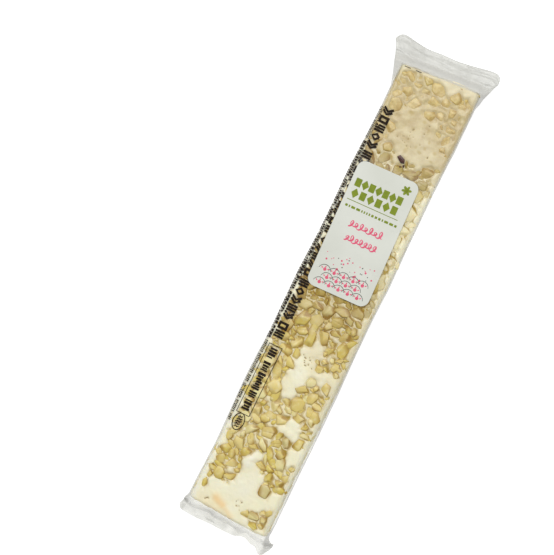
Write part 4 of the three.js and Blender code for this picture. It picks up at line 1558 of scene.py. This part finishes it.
def make_stage():
    """A pale floor that glows a little, so that it stays even."""
    mesh = bpy.data.meshes.new("floor")
    reach = FLOOR["reach"]
    mesh.from_pydata([(-reach, -reach, 0), (reach, -reach, 0), (reach, reach, 0),
                      (-reach, reach, 0)], [], [(0, 1, 2, 3)])
    n = Nodes("pale_floor")
    tint = n.ramp(n.noise(3, 2), *zip((0.3, 0.7), FLOOR["greys"]))
    mesh.materials.append(n.surface(tint, 0.8, {"Emission Color": (1, 1, 1, 1),
                                                "Emission Strength": FLOOR["glow"]}))
    floor = link("floor", mesh)
    floor.location.z = FLOOR["level"]


def make_light():
    """An even white sky, and a square lamp over the head end."""
    world = bpy.data.worlds.new("studio")
    world.use_nodes = True
    background = world.node_tree.nodes["Background"].inputs
    background["Color"].default_value = (1, 1, 1, 1)
    background["Strength"].default_value = SKY
    bpy.context.scene.world = world
    lamp = bpy.data.lights.new("key", "AREA")
    lamp.shape = "RECTANGLE"
    lamp.size = lamp.size_y = LAMP["size"]
    lamp.energy = LAMP["energy"]
    key = link("key", lamp)
    key.location = LAMP["at"]
    key.rotation_euler = (-key.location).to_track_quat("-Z", "Y").to_euler()


def make_camera():
    """Nearly overhead, with the bar turned so that its head end leans to the right."""
    a, e = math.radians(CAMERA["azimuth"]), math.radians(CAMERA["elevation"])
    back = Vector((math.sin(a) * math.cos(e), -math.cos(a) * math.cos(e), math.sin(e)))
    turn = math.radians(CAMERA["turn"])
    right = Vector((-math.sin(turn), math.cos(turn), 0)).cross(back).normalized()
    data = bpy.data.cameras.new("camera")
    data.sensor_width, data.lens = 36, CAMERA["lens"]
    data.clip_start, data.clip_end = 0.01, 20
    camera = link("camera", data)
    camera.location = Vector(CAMERA["target"]) + CAMERA["distance"] * back
    camera.rotation_euler = Matrix((right, back.cross(right), back)).transposed().to_euler()
    bpy.context.scene.camera = camera


# ---- the bar --------------------------------------------------------------------------

def put(shell, name, material, node):
    """Builds a piece that rides on the bar's one body and stands for the given node."""
    piece = shell.build(name, material)
    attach(piece, "root")
    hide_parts(node)


def make_bar():
    """The nougat with its almonds, the film over it, the label, and their prints."""
    nuts = place_nuts()
    chips = cleared(place_fillers(nuts))
    shown = [nut for nut in cleared(nuts) if not in_label(nut["x"], nut["y"], nut["radius"])]
    specks = burnt_specks()
    nut_top, gap = nut_fields(shown + chips + specks)
    crowd = crowding(gap)
    cream_top = slab_top_field(gap, crowd)
    film_top = taut_film(nut_top, cream_top)
    almond, film_ink = almond_material(), ink_material("film_ink")
    face = LabelSurface()
    pieces = {
        "nougat_slab": (nougat_slab(cream_top, gap, crowd), nougat_material(), "nougat"),
        "almond_pieces": (nut_shell(shown, 36, 11), almond, "almond"),
        "almond_chips": (nut_shell(chips, 22, 7), almond, "almond"),
        "burnt_specks": (nut_shell(specks, 24, 7), speck_material(), "almond"),
        "almond_cut_faces": (cut_nuts(), almond, "almond"),
        # Dark discs of painted shadow in the pores.
        "cream_pore_shadows": (pore_hollows(cream_top), ink_material("pore_shadow"), "nougat"),
        "film_wrap": (film_wrap(film_top), film_material(), "film"),
        "film_print": (film_print(FilmSurface(film_top)), film_ink, "print_dark"),
        "film_head_line": (head_line(film_top), film_ink, "print_dark"),
        "label_paper": (label_paper(), paper_material(), "label_paper"),
        "label_green": (label_green(face), ink_material("green_ink"), "print_green"),
        "label_pink": (label_pink(face), ink_material("pink_ink"), "print_pink"),
        "label_dark": (label_dark(face), ink_material("grey_ink"), "print_dark"),
    }
    for name, (shell, material, slot) in pieces.items():
        node = "label" if name.startswith("label") else "wrapped_bar"
        put(shell, name, material, node)


make_camera()
make_stage()
make_light()
make_bar()
bpy.context.scene.view_settings.view_transform = "Standard"
